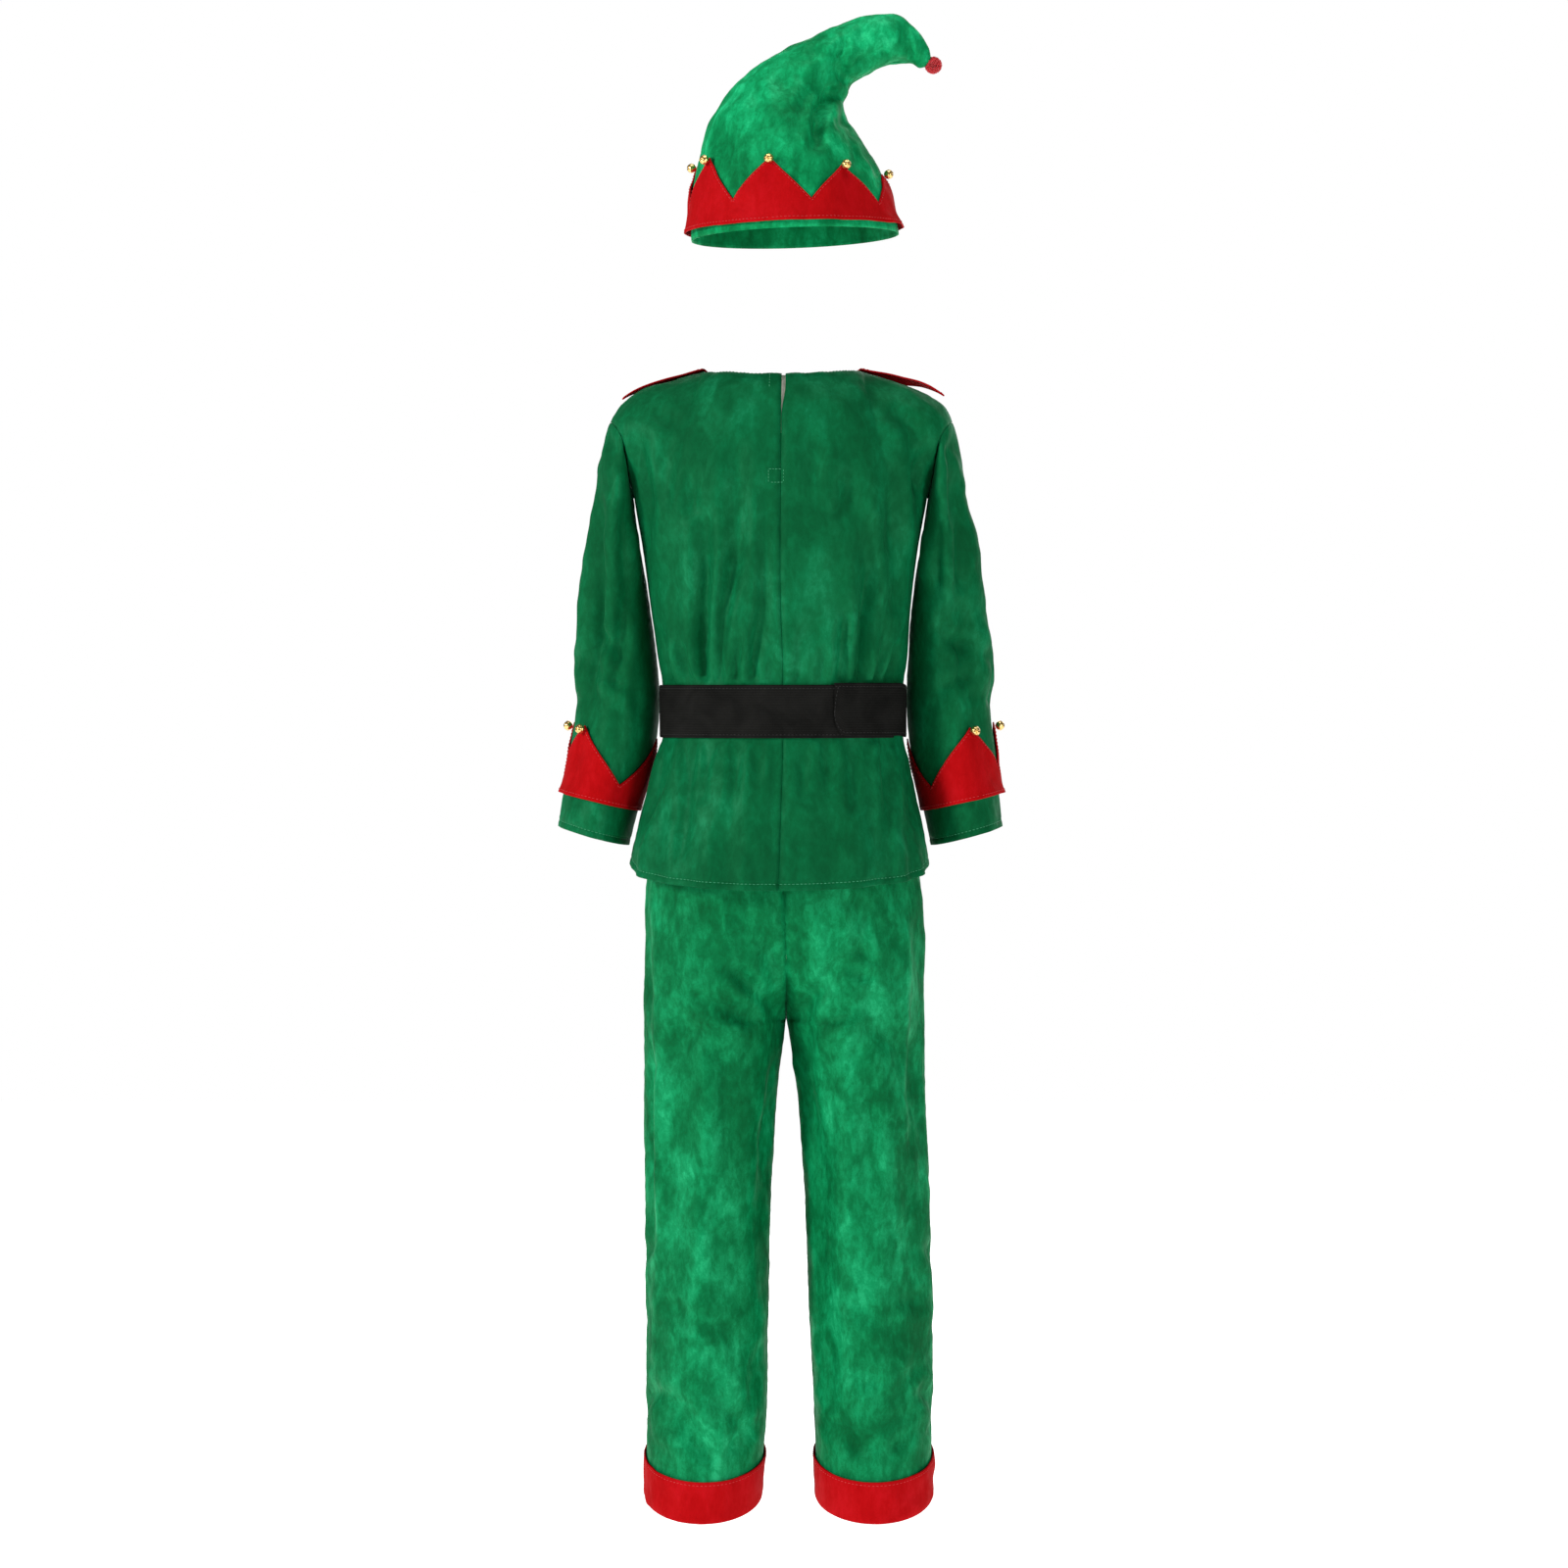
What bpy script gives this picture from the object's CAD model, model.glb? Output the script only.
# %% [markdown]
# # An elf costume for a child, in crushed velvet
# The costume has a long-sleeved tunic that a black belt gathers, straight trousers
# and a pointed hat. Here each cut piece of cloth becomes a thin open sheet that
# follows the piece's solid, with its creases placed one by one. Lengths are in
# millimetres until a mesh is made; +Z is up and the back of the costume faces -Y.

# %% Load the solids
import bpy
import math
import numpy as np
from collections import namedtuple
from types import SimpleNamespace
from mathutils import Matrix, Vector


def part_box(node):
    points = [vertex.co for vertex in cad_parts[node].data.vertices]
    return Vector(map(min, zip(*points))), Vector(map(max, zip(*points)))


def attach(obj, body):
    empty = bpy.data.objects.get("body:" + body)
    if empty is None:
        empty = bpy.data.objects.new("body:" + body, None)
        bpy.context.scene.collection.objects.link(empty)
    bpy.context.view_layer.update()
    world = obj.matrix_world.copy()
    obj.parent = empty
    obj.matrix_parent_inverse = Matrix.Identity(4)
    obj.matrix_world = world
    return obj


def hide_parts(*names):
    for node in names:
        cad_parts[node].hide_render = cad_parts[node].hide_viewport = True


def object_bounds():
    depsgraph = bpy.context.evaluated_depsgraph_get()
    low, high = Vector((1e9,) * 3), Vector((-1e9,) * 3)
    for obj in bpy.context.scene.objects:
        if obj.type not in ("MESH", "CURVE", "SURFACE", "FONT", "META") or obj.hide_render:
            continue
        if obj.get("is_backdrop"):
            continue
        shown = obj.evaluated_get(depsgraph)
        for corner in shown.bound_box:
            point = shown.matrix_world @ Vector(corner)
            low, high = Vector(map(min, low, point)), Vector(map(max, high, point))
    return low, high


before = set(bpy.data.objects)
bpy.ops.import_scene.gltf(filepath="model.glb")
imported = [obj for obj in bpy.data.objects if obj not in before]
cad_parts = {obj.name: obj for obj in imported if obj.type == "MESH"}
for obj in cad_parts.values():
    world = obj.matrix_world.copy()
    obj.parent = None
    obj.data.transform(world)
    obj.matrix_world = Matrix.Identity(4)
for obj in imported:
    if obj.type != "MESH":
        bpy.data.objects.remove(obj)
solid_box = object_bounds()
MM = 0.001
print("solids:", len(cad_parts), "box:", [[round(c, 3) for c in corner] for corner in solid_box])

# %% [markdown]
# ## Camera and studio
# The photograph looks at the back from the height of the shoulder blades with a long
# lens, so that the cloth is hardly distorted. A camera 4.1 m away whose frame is
# 1.44 m wide at the costume gives the same view. The floor lies where the soles of
# the wearer's shoes would stand. It is plain and pale, and broad soft lights keep
# the shadows in the velvet's folds clean.

# %% Camera and soft lights
CAMERA_PLACE = Vector((0, -4.1, -0.285))
CAMERA_TARGET = Vector((0, 0, -0.374))
FRAME_WIDTH = 1.44
FLOOR_Z = -1.085


def aim(thing, target):
    thing.rotation_euler = (target - thing.location).to_track_quat("-Z", "Y").to_euler()


def add_camera():
    data = bpy.data.cameras.new("photo view")
    data.sensor_width = 36
    data.lens = data.sensor_width * abs(CAMERA_PLACE.y) / FRAME_WIDTH
    data.clip_end = 50
    camera = bpy.data.objects.new("photo view", data)
    camera.location = CAMERA_PLACE
    aim(camera, CAMERA_TARGET)
    bpy.context.scene.collection.objects.link(camera)
    bpy.context.scene.camera = camera


def add_light(name, place, target, size, watts):
    data = bpy.data.lights.new(name, "AREA")
    data.shape = "RECTANGLE"
    data.size, data.size_y = size
    data.energy = watts
    light = bpy.data.objects.new(name, data)
    light.location = place
    aim(light, Vector(target))
    bpy.context.scene.collection.objects.link(light)


add_camera()
add_light("key", (-3.0, -1.9, 0.9), (0, 0, -0.45), (0.5, 0.8), 90)
add_light("fill", (2.2, -2.8, -0.2), (0, 0, -0.6), (0.7, 1.2), 34)
add_light("top", (0.2, -0.3, 2.2), (0, 0, -0.3), (1.2, 1.2), 26)
add_light("behind", (0.6, 2.6, 0.6), (0, 0, -0.5), (2.0, 2.0), 30)
print("camera lens", round(bpy.context.scene.camera.data.lens, 1), "mm")

# %% White surroundings and floor
def studio_world():
    """White to the camera, and a gentler light from all round on the cloth."""
    world = bpy.data.worlds.new("white studio")
    world.use_nodes = True
    nodes, links = world.node_tree.nodes, world.node_tree.links
    background = nodes["Background"]
    background.inputs["Color"].default_value = (1, 1, 1, 1)
    seen = nodes.new("ShaderNodeLightPath")
    strength = nodes.new("ShaderNodeMapRange")
    strength.inputs["To Min"].default_value = 0.16
    strength.inputs["To Max"].default_value = 1.0
    links.new(seen.outputs["Is Camera Ray"], strength.inputs["Value"])
    links.new(strength.outputs["Result"], background.inputs["Strength"])
    bpy.context.scene.world = world


def studio_floor():
    bpy.ops.mesh.primitive_plane_add(size=9, location=(0, 0, FLOOR_Z))
    floor = bpy.context.object
    floor.name = "studio floor"
    paper = bpy.data.materials.new("pale paper")
    paper.use_nodes = True
    nodes, links = paper.node_tree.nodes, paper.node_tree.links
    shader = nodes["Principled BSDF"]
    shader.inputs["Roughness"].default_value = 0.9
    shader.inputs["Emission Color"].default_value = (1, 1, 1, 1)
    shader.inputs["Emission Strength"].default_value = 0.86
    grain = nodes.new("ShaderNodeTexNoise")
    grain.inputs["Scale"].default_value = 900
    shade = nodes.new("ShaderNodeValToRGB")
    shade.color_ramp.elements[0].color = (0.93, 0.93, 0.93, 1)
    shade.color_ramp.elements[1].color = (0.97, 0.97, 0.97, 1)
    links.new(grain.outputs["Fac"], shade.inputs["Fac"])
    links.new(shade.outputs["Color"], shader.inputs["Base Color"])
    floor.data.materials.append(paper)
    floor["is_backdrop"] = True


studio_world()
studio_floor()
bpy.context.scene.view_settings.view_transform = "Standard"
bpy.context.scene.view_settings.look = "None"

# %% [markdown]
# ## Sizes shared with the solids
# The sheets have to lie where the solids are, so the cut of the costume is worked
# out here from the same sizes. A table gives the main sections of each piece, and a
# smooth curve runs between its rows. All functions take whole arrays at once,
# because the sheets have many thousands of points.

# %% Driving sizes
VELVET = 1.6
FELT = 1.8
WEBBING = 2.0
SEAM_GAP = 0.32
LAY_GAP = 0.7
ARMPIT_Z = -112.0
NECK_HALF_WIDTH = 72.0
NECK_SIDE_Z = 4.0
SHOULDER_HALF_WIDTH = 157.0
SHOULDER_DROP = 25.0
SHOULDER_ROUND = 21.0
ARMHOLE_BULGE = 46.0
ARMHOLE_INSET = 7.0
NECK_SHARE = 0.5
SLIT_LENGTH = 42.0
SLIT_WIDTH = 3.4
BELT_TOP = -283.0
BELT_HEIGHT = 48.0
BELT_END_ANGLE = 22.5
BELT_CORNER = 6.0
BELT_UNDERLAP = 40.0
BELT_LAYER_GAP = 0.5
BELT_CLEAR = 3.0
BELT_STEP = 1.8
GATHERS = 21
GATHER_DEPTH = 2.2
GATHER_REACH = 70.0
CROTCH_Z = -590.0
CROTCH_X = 2.0
SEAT_TOP = -440.0
LEG_HEM_Z = -1024.0
LEG_CUFF_HEIGHT = 38.0
HEM_RISE = 34.0


# %% Tables of sections
class Table:
    """Rows with named columns, read between the rows along a smooth curve."""

    def __init__(self, columns, *rows):
        self.names = columns.split()
        self.rows = np.array(rows, dtype=float)
        self.keys = self.rows[:, 0]
        self.slopes = np.gradient(self.rows, self.keys, axis=0)

    def at(self, key):
        key = np.asarray(key, dtype=float)
        i = np.clip(np.searchsorted(self.keys, key) - 1, 0, len(self.keys) - 2)
        span = (self.keys[i + 1] - self.keys[i])[..., None]
        t = (key[..., None] - self.keys[i][..., None]) / span
        bend = (2 * t - 3) * t * t
        value = (self.rows[i] * (1 + bend) - self.rows[i + 1] * bend
                 + self.slopes[i] * span * t * (1 - t) ** 2
                 - self.slopes[i + 1] * span * t * t * (1 - t))
        return SimpleNamespace(**{name: value[..., k] for k, name in enumerate(self.names)})


TUNIC = Table(
    "z half_width half_depth squareness",
    (-470, 141, 118, 2.1), (-446, 138, 115, 2.1), (-400, 128, 106, 2.1),
    (-354, 116.5, 93, 2.1), (-334, 110.7, 86.1, 2.1), (-307, 110.6, 86.0, 2.1),
    (-280, 110.7, 86.1, 2.1), (-260, 114, 91, 2.2), (-230, 117, 94, 2.3),
    (-158, 126, 96, 2.4), (-112, 134, 95, 2.5), (-60, 140, 92, 2.6))
LEAN = Table(
    "z x",
    (-480, -5), (-400, -3), (-345, -1.1), (-334, -1), (-280, -1), (-268, -1.1),
    (-210, -3), (-100, -3), (60, -1))
FLUTES = Table(
    "angle width depth",
    (-165, 13, 6), (-138, 11, 8), (-112, 12, 5), (-62, 9, 7), (-43, 8, 6),
    (-26, 7, 9), (-12, 6, 8), (8, 9, 4), (29, 8, 6), (49, 7, 10), (66, 8, 6),
    (114, 12, 5), (141, 12, 8), (168, 12, 5))
SLEEVE = Table(
    "along outer_x outer_z inner_x inner_z half_depth y",
    (0.00, 157.0, -42, 134.0, -112, 46, 0), (0.06, 163.5, -62, 133.0, -127, 52, 1),
    (0.16, 168.0, -92, 130.0, -150, 57, 7), (0.32, 176.5, -158, 122.8, -196, 60, 20),
    (0.48, 184.5, -226, 117.2, -248, 61, 29), (0.62, 190.5, -288, 114.2, -299, 62, 34),
    (0.74, 194.5, -326, 118.2, -342, 66, 36), (0.88, 200.5, -374, 130.2, -390, 71, 37),
    (1.00, 205.5, -413, 140.0, -431, 74, 38))
HIPS = Table(
    "z half_width half_depth squareness x",
    (-590, 128, 98, 2.4, 0), (-530, 128, 99, 2.4, 0), (-470, 126, 96, 2.3, -1),
    (-400, 117, 90, 2.2, -2), (-345, 109.0, 84.6, 2.1, -1), (-316, 108.4, 83.9, 2.1, -1),
    (-292, 108.4, 83.9, 2.1, -1))
LEGS = {
    "left": Table(
        "z outer inner half_depth y",
        (-1060, 126, 25, 62, -2), (-1010, 126.2, 21, 64, -2), (-959, 126.6, 16.2, 65, -1),
        (-869, 127, 14.4, 68, 0), (-734, 128, 10.8, 74, 2), (-644, 128.5, 4.5, 80, 2),
        (-590, 128.7, -2.0, 84, 0)),
    "right": Table(
        "z outer inner half_depth y",
        (-1060, 134, 33, 62, -2), (-1010, 135, 30, 64, -2), (-959, 136.5, 28, 65, -1),
        (-869, 136.8, 23.4, 68, 0), (-734, 133, 18, 74, 2), (-644, 129.6, 10.8, 80, 2),
        (-590, 128.4, 2.0, 84, 0))}
CROWN = Table(
    "row left_x left_z right_x right_z half_depth",
    (0, -85.5, 124, 106, 131, 97), (1, -84.6, 165, 98, 161, 95),
    (2, -78.3, 197, 88.5, 184, 89), (3, -70, 227, 74, 212, 78),
    (4, -56.7, 251, 61.5, 233, 67), (5, -38.7, 273, 57, 246, 56),
    (6, -13.5, 292, 58.5, 255, 47), (7, 17, 307, 65, 267, 39),
    (8, 46, 320, 76, 276, 33), (9, 74, 330, 90, 284, 28),
    (10, 102, 332, 106, 288, 23), (11, 121, 319, 117, 287, 17),
    (12, 132, 303, 124, 283, 10), (13, 135, 292, 129.5, 284, 5))

# %% Large folds that the solids have too
Fold = namedtuple("Fold", "angle_0 along_0 angle_1 along_1 width depth")
SLEEVE_FOLDS = (
    Fold(300, 0.10, 288, 0.50, 11, 4.0), Fold(285, 0.46, 303, 0.86, 10, 4.5),
    Fold(250, 0.30, 272, 0.62, 9, 3.0), Fold(70, 0.34, 95, 0.66, 12, 4.0),
    Fold(45, 0.50, 60, 0.90, 10, 3.0), Fold(330, 0.55, 345, 0.72, 10, 3.0))
LEG_FOLDS = (
    Fold(262, -560, 330, -640, 16, 5.0), Fold(235, -640, 300, -585, 14, 3.5),
    Fold(300, -600, 318, -900, 16, 4.0), Fold(225, -925, 268, -968, 12, 5.0),
    Fold(268, -968, 325, -930, 12, 5.0), Fold(200, -880, 250, -915, 14, 3.5),
    Fold(40, -640, 60, -860, 18, 4.0), Fold(60, -935, 120, -962, 14, 4.5))
Dent = namedtuple("Dent", "row angle reach width depth")
CROWN_DENTS = (
    Dent(5.3, 300, 70, 0.75, 7.0), Dent(6.9, 330, 80, 0.55, 5.0), Dent(4.0, 325, 55, 0.6, 4.0),
    Dent(5.6, 70, 60, 0.7, 6.0), Dent(7.6, 60, 70, 0.5, 4.0), Dent(10.4, 250, 60, 0.4, 3.0))


def ease(value):
    """From 0 to 1 without a corner at either end."""
    t = np.clip(value, 0.0, 1.0)
    return t * t * (3 - 2 * t)


def sine(degrees):
    return np.sin(np.radians(degrees))


def cosine(degrees):
    return np.cos(np.radians(degrees))


def signed_power(value, power):
    return np.sign(value) * np.abs(value) ** power


def between(value, low, high):
    """Wraps an angle into low..high, a full turn apart."""
    return (value - low) % 360 + low


def place(x, y, z):
    return np.stack(np.broadcast_arrays(x, y, z), axis=-1)


def trough(fold, angle, along, radius, unit):
    """Depth of a soft trough between the fold's two ends."""
    turn = math.radians(1) * radius
    start = np.array((fold.angle_0 * turn, fold.along_0 * unit))
    run = np.array((fold.angle_1 * turn, fold.along_1 * unit)) - start
    across, up = angle * turn - start[0], along * unit - start[1]
    share = np.clip((across * run[0] + up * run[1]) / (run @ run), 0, 1)
    distance = np.hypot(across - share * run[0], up - share * run[1])
    fade = 0.35 + 0.65 * np.sin(np.pi * share)
    return fold.depth * fade * np.exp(-(distance / fold.width) ** 2)

# %% [markdown]
# ## The forms that the cloth follows
# Every piece is a smooth surface with two directions: round the body and up it. One
# function gives the point for any pair of values, as a pattern cutter's block does.
# The tunic's skirt stands out in flutes below the belt, and short gathers end above
# it, because a straight-cut body is pulled in by the belt alone.

# %% Tunic
def flutes(angle, z):
    """How far the tunic's skirt stands out in ridges between belt and hem."""
    grow = ease((BELT_TOP - BELT_HEIGHT - BELT_CLEAR - z) / 115)
    reach = 0.0
    for ridge_angle, width, depth in FLUTES.rows:
        reach = reach + depth * np.exp(-(between(angle - ridge_angle, -180, 180) / width) ** 2)
    side = 1 - 0.9 * np.exp(-((np.abs(np.abs(between(angle, -180, 180)) - 90) / 16) ** 2))
    return grow * side * (reach - 4)


def gathers(angle, z):
    """Short uneven folds that the belt pulls in above itself."""
    height = z - BELT_TOP - BELT_CLEAR
    share = np.clip(height / GATHER_REACH, 0, 1)
    uneven = GATHERS * np.radians(angle) + 1.1 * sine(3 * angle + 40)
    return GATHER_DEPTH * np.sin(np.pi * share ** 0.6) * cosine(angle) ** 2 * np.sin(uneven)


def hem_z(angle):
    """The tunic's hem hangs lowest at the back."""
    back = np.maximum(cosine(angle), 0.0)
    return -446 - 21 * back - 3 * (1 - back) * np.abs(sine(2 * angle))


def body_ring(angle, z, extra=0.0):
    """A point of the tunic below the armpits; angle 0 is the middle of the back."""
    row = TUNIC.at(z)
    power = 2 / row.squareness
    out = 1 + (flutes(angle, z) + gathers(angle, z)) / row.half_depth
    x = (row.half_width * out + extra) * signed_power(sine(angle), power)
    y = -(row.half_depth * out + extra) * signed_power(cosine(angle), power)
    return place(x + LEAN.at(z).x, y, z)


def top_edge(share, face):
    """The neckline and then the shoulder seam, from the middle out."""
    across = np.abs(share)
    turn = 90 * np.minimum(across / NECK_SHARE, 1)
    depth, drop = (-52.0, 0.0) if face == "back" else (60.0, -38.0)
    t = np.maximum((across - NECK_SHARE) / (1 - NECK_SHARE), 0)
    on_neck = across <= NECK_SHARE
    x = np.where(on_neck, NECK_HALF_WIDTH * sine(turn),
                 NECK_HALF_WIDTH + (SHOULDER_HALF_WIDTH - NECK_HALF_WIDTH) * t)
    y = np.where(on_neck, depth * cosine(turn), 0)
    round_neck = np.maximum(cosine(turn), 0) ** 1.5
    z = np.where(on_neck, NECK_SIDE_Z + (drop - NECK_SIDE_Z) * round_neck,
                 NECK_SIDE_Z - SHOULDER_DROP * t - SHOULDER_ROUND * t ** 6)
    return np.copysign(x, share), y, z


def yoke(share, rise, face):
    """A point above the armpits: share -1 to 1 across, rise 0 to 1 upwards."""
    sign = -1 if face == "back" else 1
    angle = 90 * share if face == "back" else 180 - 90 * share
    low = body_ring(angle, np.full_like(angle, ARMPIT_Z))
    low_x = low[..., 0] - LEAN.at(ARMPIT_Z).x
    high_x, high_y, high_z = top_edge(share, face)
    up, over, arch = sine(90 * rise), cosine(90 * rise), sine(180 * rise)
    edge = np.minimum(np.abs(share), 1.05)
    inset = np.copysign(ARMHOLE_INSET, share) * arch ** 2 * edge ** 6
    x = low_x + (high_x - low_x) * up - inset
    y = high_y + (low[..., 1] - high_y) * over + sign * ARMHOLE_BULGE * arch * edge ** 2.5
    z = low[..., 2] + (high_z - low[..., 2]) * up
    return place(x + LEAN.at(z).x, y, z)


def tunic(share, level, face):
    """A point of the tunic: level 0 at the hem, 1 at the armpits, 2 at the top."""
    share, level = np.broadcast_arrays(np.asarray(share, float), np.asarray(level, float))
    angle = 90 * share if face == "back" else 180 - 90 * share
    bottom = hem_z(angle)
    below = body_ring(angle, bottom + (ARMPIT_Z - bottom) * np.minimum(level, 1))
    above = yoke(share, np.maximum(level - 1, 0), face)
    return np.where((level > 1)[..., None], above, below)


# %% Sleeves
def armhole(turn, side):
    """The armhole's edge; turn 0 is the shoulder, 90 the front, 180 the armpit."""
    turn = between(turn, -180, 180)
    share = np.full_like(turn, side)
    front = yoke(share, 1 - np.abs(turn) / 180, "front")
    back = yoke(share, 1 - np.abs(turn) / 180, "back")
    return np.where((turn > 0)[..., None], front, back)


def sleeve(turn, along, side):
    """A point of a sleeve; turn 0 is the outer side, 90 the front, side is 1 or -1."""
    turn, along = np.broadcast_arrays(np.asarray(turn, float), np.asarray(along, float))
    row = SLEEVE.at(along)
    round_turn = turn - 15 * sine(2 * turn)
    middle_x, middle_z = (row.outer_x + row.inner_x) / 2, (row.outer_z + row.inner_z) / 2
    reach_x, reach_z = (row.outer_x - row.inner_x) / 2, (row.outer_z - row.inner_z) / 2
    dent = sum(trough(fold, turn % 360, along, 52, 380) for fold in SLEEVE_FOLDS)
    dent = dent * (1 - ease(-cosine(round_turn) * 2.5)) * ease(along / 0.12)
    size = 1 - dent / 60
    x = middle_x + reach_x * size * cosine(round_turn)
    z = middle_z + reach_z * size * cosine(round_turn)
    tube = place(side * x + LEAN.at(z).x, row.y + row.half_depth * size * sine(round_turn), z)
    blend = ease(along / 0.16)[..., None]
    over = np.maximum(cosine(turn), 0)
    start = armhole(turn, side) + place(side * 1.5, 0 * over, -2.5 * over) * SEAM_GAP
    return start * (1 - blend) + tube * blend


# %% Trousers
def leg_point(turn, z, side):
    """A point of a leg; turn 0 is the outer side, 90 the front, 180 the inseam."""
    row = LEGS[side].at(np.minimum(z, CROTCH_Z))
    sign = 1 if side == "right" else -1
    dent = sum(trough(fold, turn % 360, z, 62, 1) for fold in LEG_FOLDS)
    size = 1 - dent * (1 - ease(-2.5 * cosine(turn))) / 62
    x = (row.outer + row.inner) / 2 + (row.outer - row.inner) / 2 * size * cosine(turn)
    return place(sign * x, row.y + row.half_depth * size * sine(turn), z)


def hip_point(share, z, side, face):
    """A point of the hips; share 0 is the middle seam and 1 the side seam."""
    row = HIPS.at(z)
    power = 2 / row.squareness
    reach = row.half_width * signed_power(sine(90 * share), power)
    x = row.x + (reach if side == "right" else -reach)
    y = row.half_depth * signed_power(cosine(90 * share), power)
    return place(x, y if face == "front" else -y, z)


def leg_hem(turn):
    """Height of the green leg's lower edge, higher at the front."""
    return LEG_HEM_Z + HEM_RISE / 2 * sine(turn)


def trousers(share, level, side, face):
    """A point of a trouser panel: level 0 at the hem, 1 at the crotch, 2 at the waist."""
    share, level = np.broadcast_arrays(np.asarray(share, float), np.asarray(level, float))
    turn = (1 if face == "front" else -1) * 180 * (1 - share)
    bottom = leg_hem(turn)
    leg = leg_point(turn, bottom + (CROTCH_Z - bottom) * np.minimum(level, 1), side)
    seat = 0.5
    climb = np.maximum(level - 1, 0)
    q = cosine(90 * np.minimum(climb / seat, 1))
    waist_share = np.maximum(climb - seat, 0) / (1 - seat)
    z = SEAT_TOP + (CROTCH_Z - SEAT_TOP) * q + (HIPS.keys[-1] - SEAT_TOP) * waist_share
    into_leg = (1 - share) * (1 - np.sqrt(np.maximum(1 - q * q, 0))) + share * ease(q)
    into_leg = np.where(climb < seat, into_leg, 0)[..., None]
    hips = hip_point(share, z, side, face)
    hips[..., 0] += CROTCH_X * ease((SEAT_TOP - z) / 100)
    seat_part = hips * (1 - into_leg) + leg_point(turn, z, side) * into_leg
    return np.where((level > 1)[..., None], seat_part, leg)


# %% Hat
def crown(turn, row_key):
    """A point of the hat's crown; turn 0 is the right side, 270 the back."""
    turn, row_key = np.broadcast_arrays(np.asarray(turn, float), np.asarray(row_key, float))
    row = CROWN.at(row_key)
    reach_x, reach_z = (row.right_x - row.left_x) / 2, (row.right_z - row.left_z) / 2
    dent = 0.0
    for crease in CROWN_DENTS:
        near = np.exp(-(between(turn - crease.angle, -180, 180) / crease.reach) ** 2 * 1.5)
        dent = dent + crease.depth * near * np.exp(-((row_key - crease.row) / crease.width) ** 2)
    size = 1 - dent / (np.hypot(reach_x, reach_z) + 20)
    return place((row.right_x + row.left_x) / 2 + reach_x * size * cosine(turn),
                 10 + row.half_depth * size * sine(turn),
                 (row.right_z + row.left_z) / 2 + reach_z * size * cosine(turn))


# %% [markdown]
# ## From a form to a sheet of cloth
# A sheet is a grid of points on its form. Its creases are then pushed in or out along
# the surface's own normal. Each crease is one row of a table: where it starts and
# ends as seen from one side, how wide and deep it is, and how far it bows. A crease
# is a soft trough with a low shoulder on each side, and it fades at both ends, which
# is how cloth with some body behaves. Soft puckers along the seams come from the
# machine stitch that takes up a little cloth.

# %% A grid of points
def surface_normals(points, ring=False):
    if ring:
        across = np.roll(points, -1, axis=0) - np.roll(points, 1, axis=0)
    else:
        across = np.gradient(points, axis=0)
    normal = np.cross(across, np.gradient(points, axis=1))
    return normal / np.maximum(np.linalg.norm(normal, axis=2), 1e-9)[..., None]


def lengths(points, axis):
    """Distance along the cloth from the first row or column."""
    step = np.linalg.norm(np.diff(points, axis=axis), axis=2)
    zero = np.zeros_like(np.take(step, [0], axis=axis))
    return np.cumsum(np.concatenate((zero, step), axis=axis), axis=axis)


# %% Creases placed by hand
Crease = namedtuple("Crease", "h0 z0 h1 z1 width depth bow")
CREASE_GAIN = 2.1
BODICE_GAIN = 3.3
SKIRT_GAIN = 2.6
SLEEVE_GAIN = 3.2
HIP_ROOM = 0.3          # between tunic and trousers just below the belt
SKIRT_ROOM = 4.6        # and how much more there is once the skirt stands out
SKIRT_SPREAD = 42.0
SIDES = {"back": (0, 1, -1), "front": (0, 1, 1), "left": (1, 0, -1), "right": (1, 0, 1)}


def creased(points, normals, side, table, gain=CREASE_GAIN):
    """Relief in mm of the creases in a table, as seen from one side."""
    across, facing, sign = SIDES[side]
    h, z = points[..., across], points[..., 2]
    seen = ease((sign * normals[..., facing] + 0.05) / 0.4)
    relief = np.zeros_like(h)
    for c in table:
        c = Crease(*c)
        run_h, run_z = c.h1 - c.h0, c.z1 - c.z0
        length = math.hypot(run_h, run_z)
        along = ((h - c.h0) * run_h + (z - c.z0) * run_z) / length ** 2
        inside = np.clip(along, 0, 1)
        off = ((h - c.h0) * run_z - (z - c.z0) * run_h) / length
        off = off + c.bow * length * np.sin(np.pi * inside)
        fade = np.sin(np.pi * inside) ** 0.7 * (0.8 + 0.2 * np.sin(9 * inside + c.h0))
        u = off / c.width
        shape = np.exp(-u ** 2) - 0.40 * np.exp(-(u - 1.8) ** 2) - 0.22 * np.exp(-(u + 1.9) ** 2)
        relief -= gain * c.depth * fade * shape
    return relief * seen


def wander(points, size, depth, seed):
    """Low uneven hollows and swells, as a worn sheet has all over."""
    source = np.random.default_rng(seed)
    relief = np.zeros(points.shape[:-1])
    for _ in range(9):
        way = source.normal(size=3)
        way *= 2 * np.pi / (size * source.uniform(0.7, 1.5)) / np.linalg.norm(way)
        bend = source.uniform(0.5, 1.4) * np.sin(points @ (way[[2, 0, 1]] * 0.6))
        relief += np.sin(points @ way + bend + source.uniform(0, 6.3))
    return depth * relief / 3


def seam_roll(distance, along, depth=1.1, seed=0):
    """The edge of a panel turns in at its seam, and the stitch puckers it."""
    pucker = np.sin(along / 1.9 + seed) + 0.7 * np.sin(along / 3.4 + 2 * seed)
    return -depth * np.exp(-(distance / 2.6) ** 2) + 0.16 * pucker * np.exp(-(distance / 8) ** 2)


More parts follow.
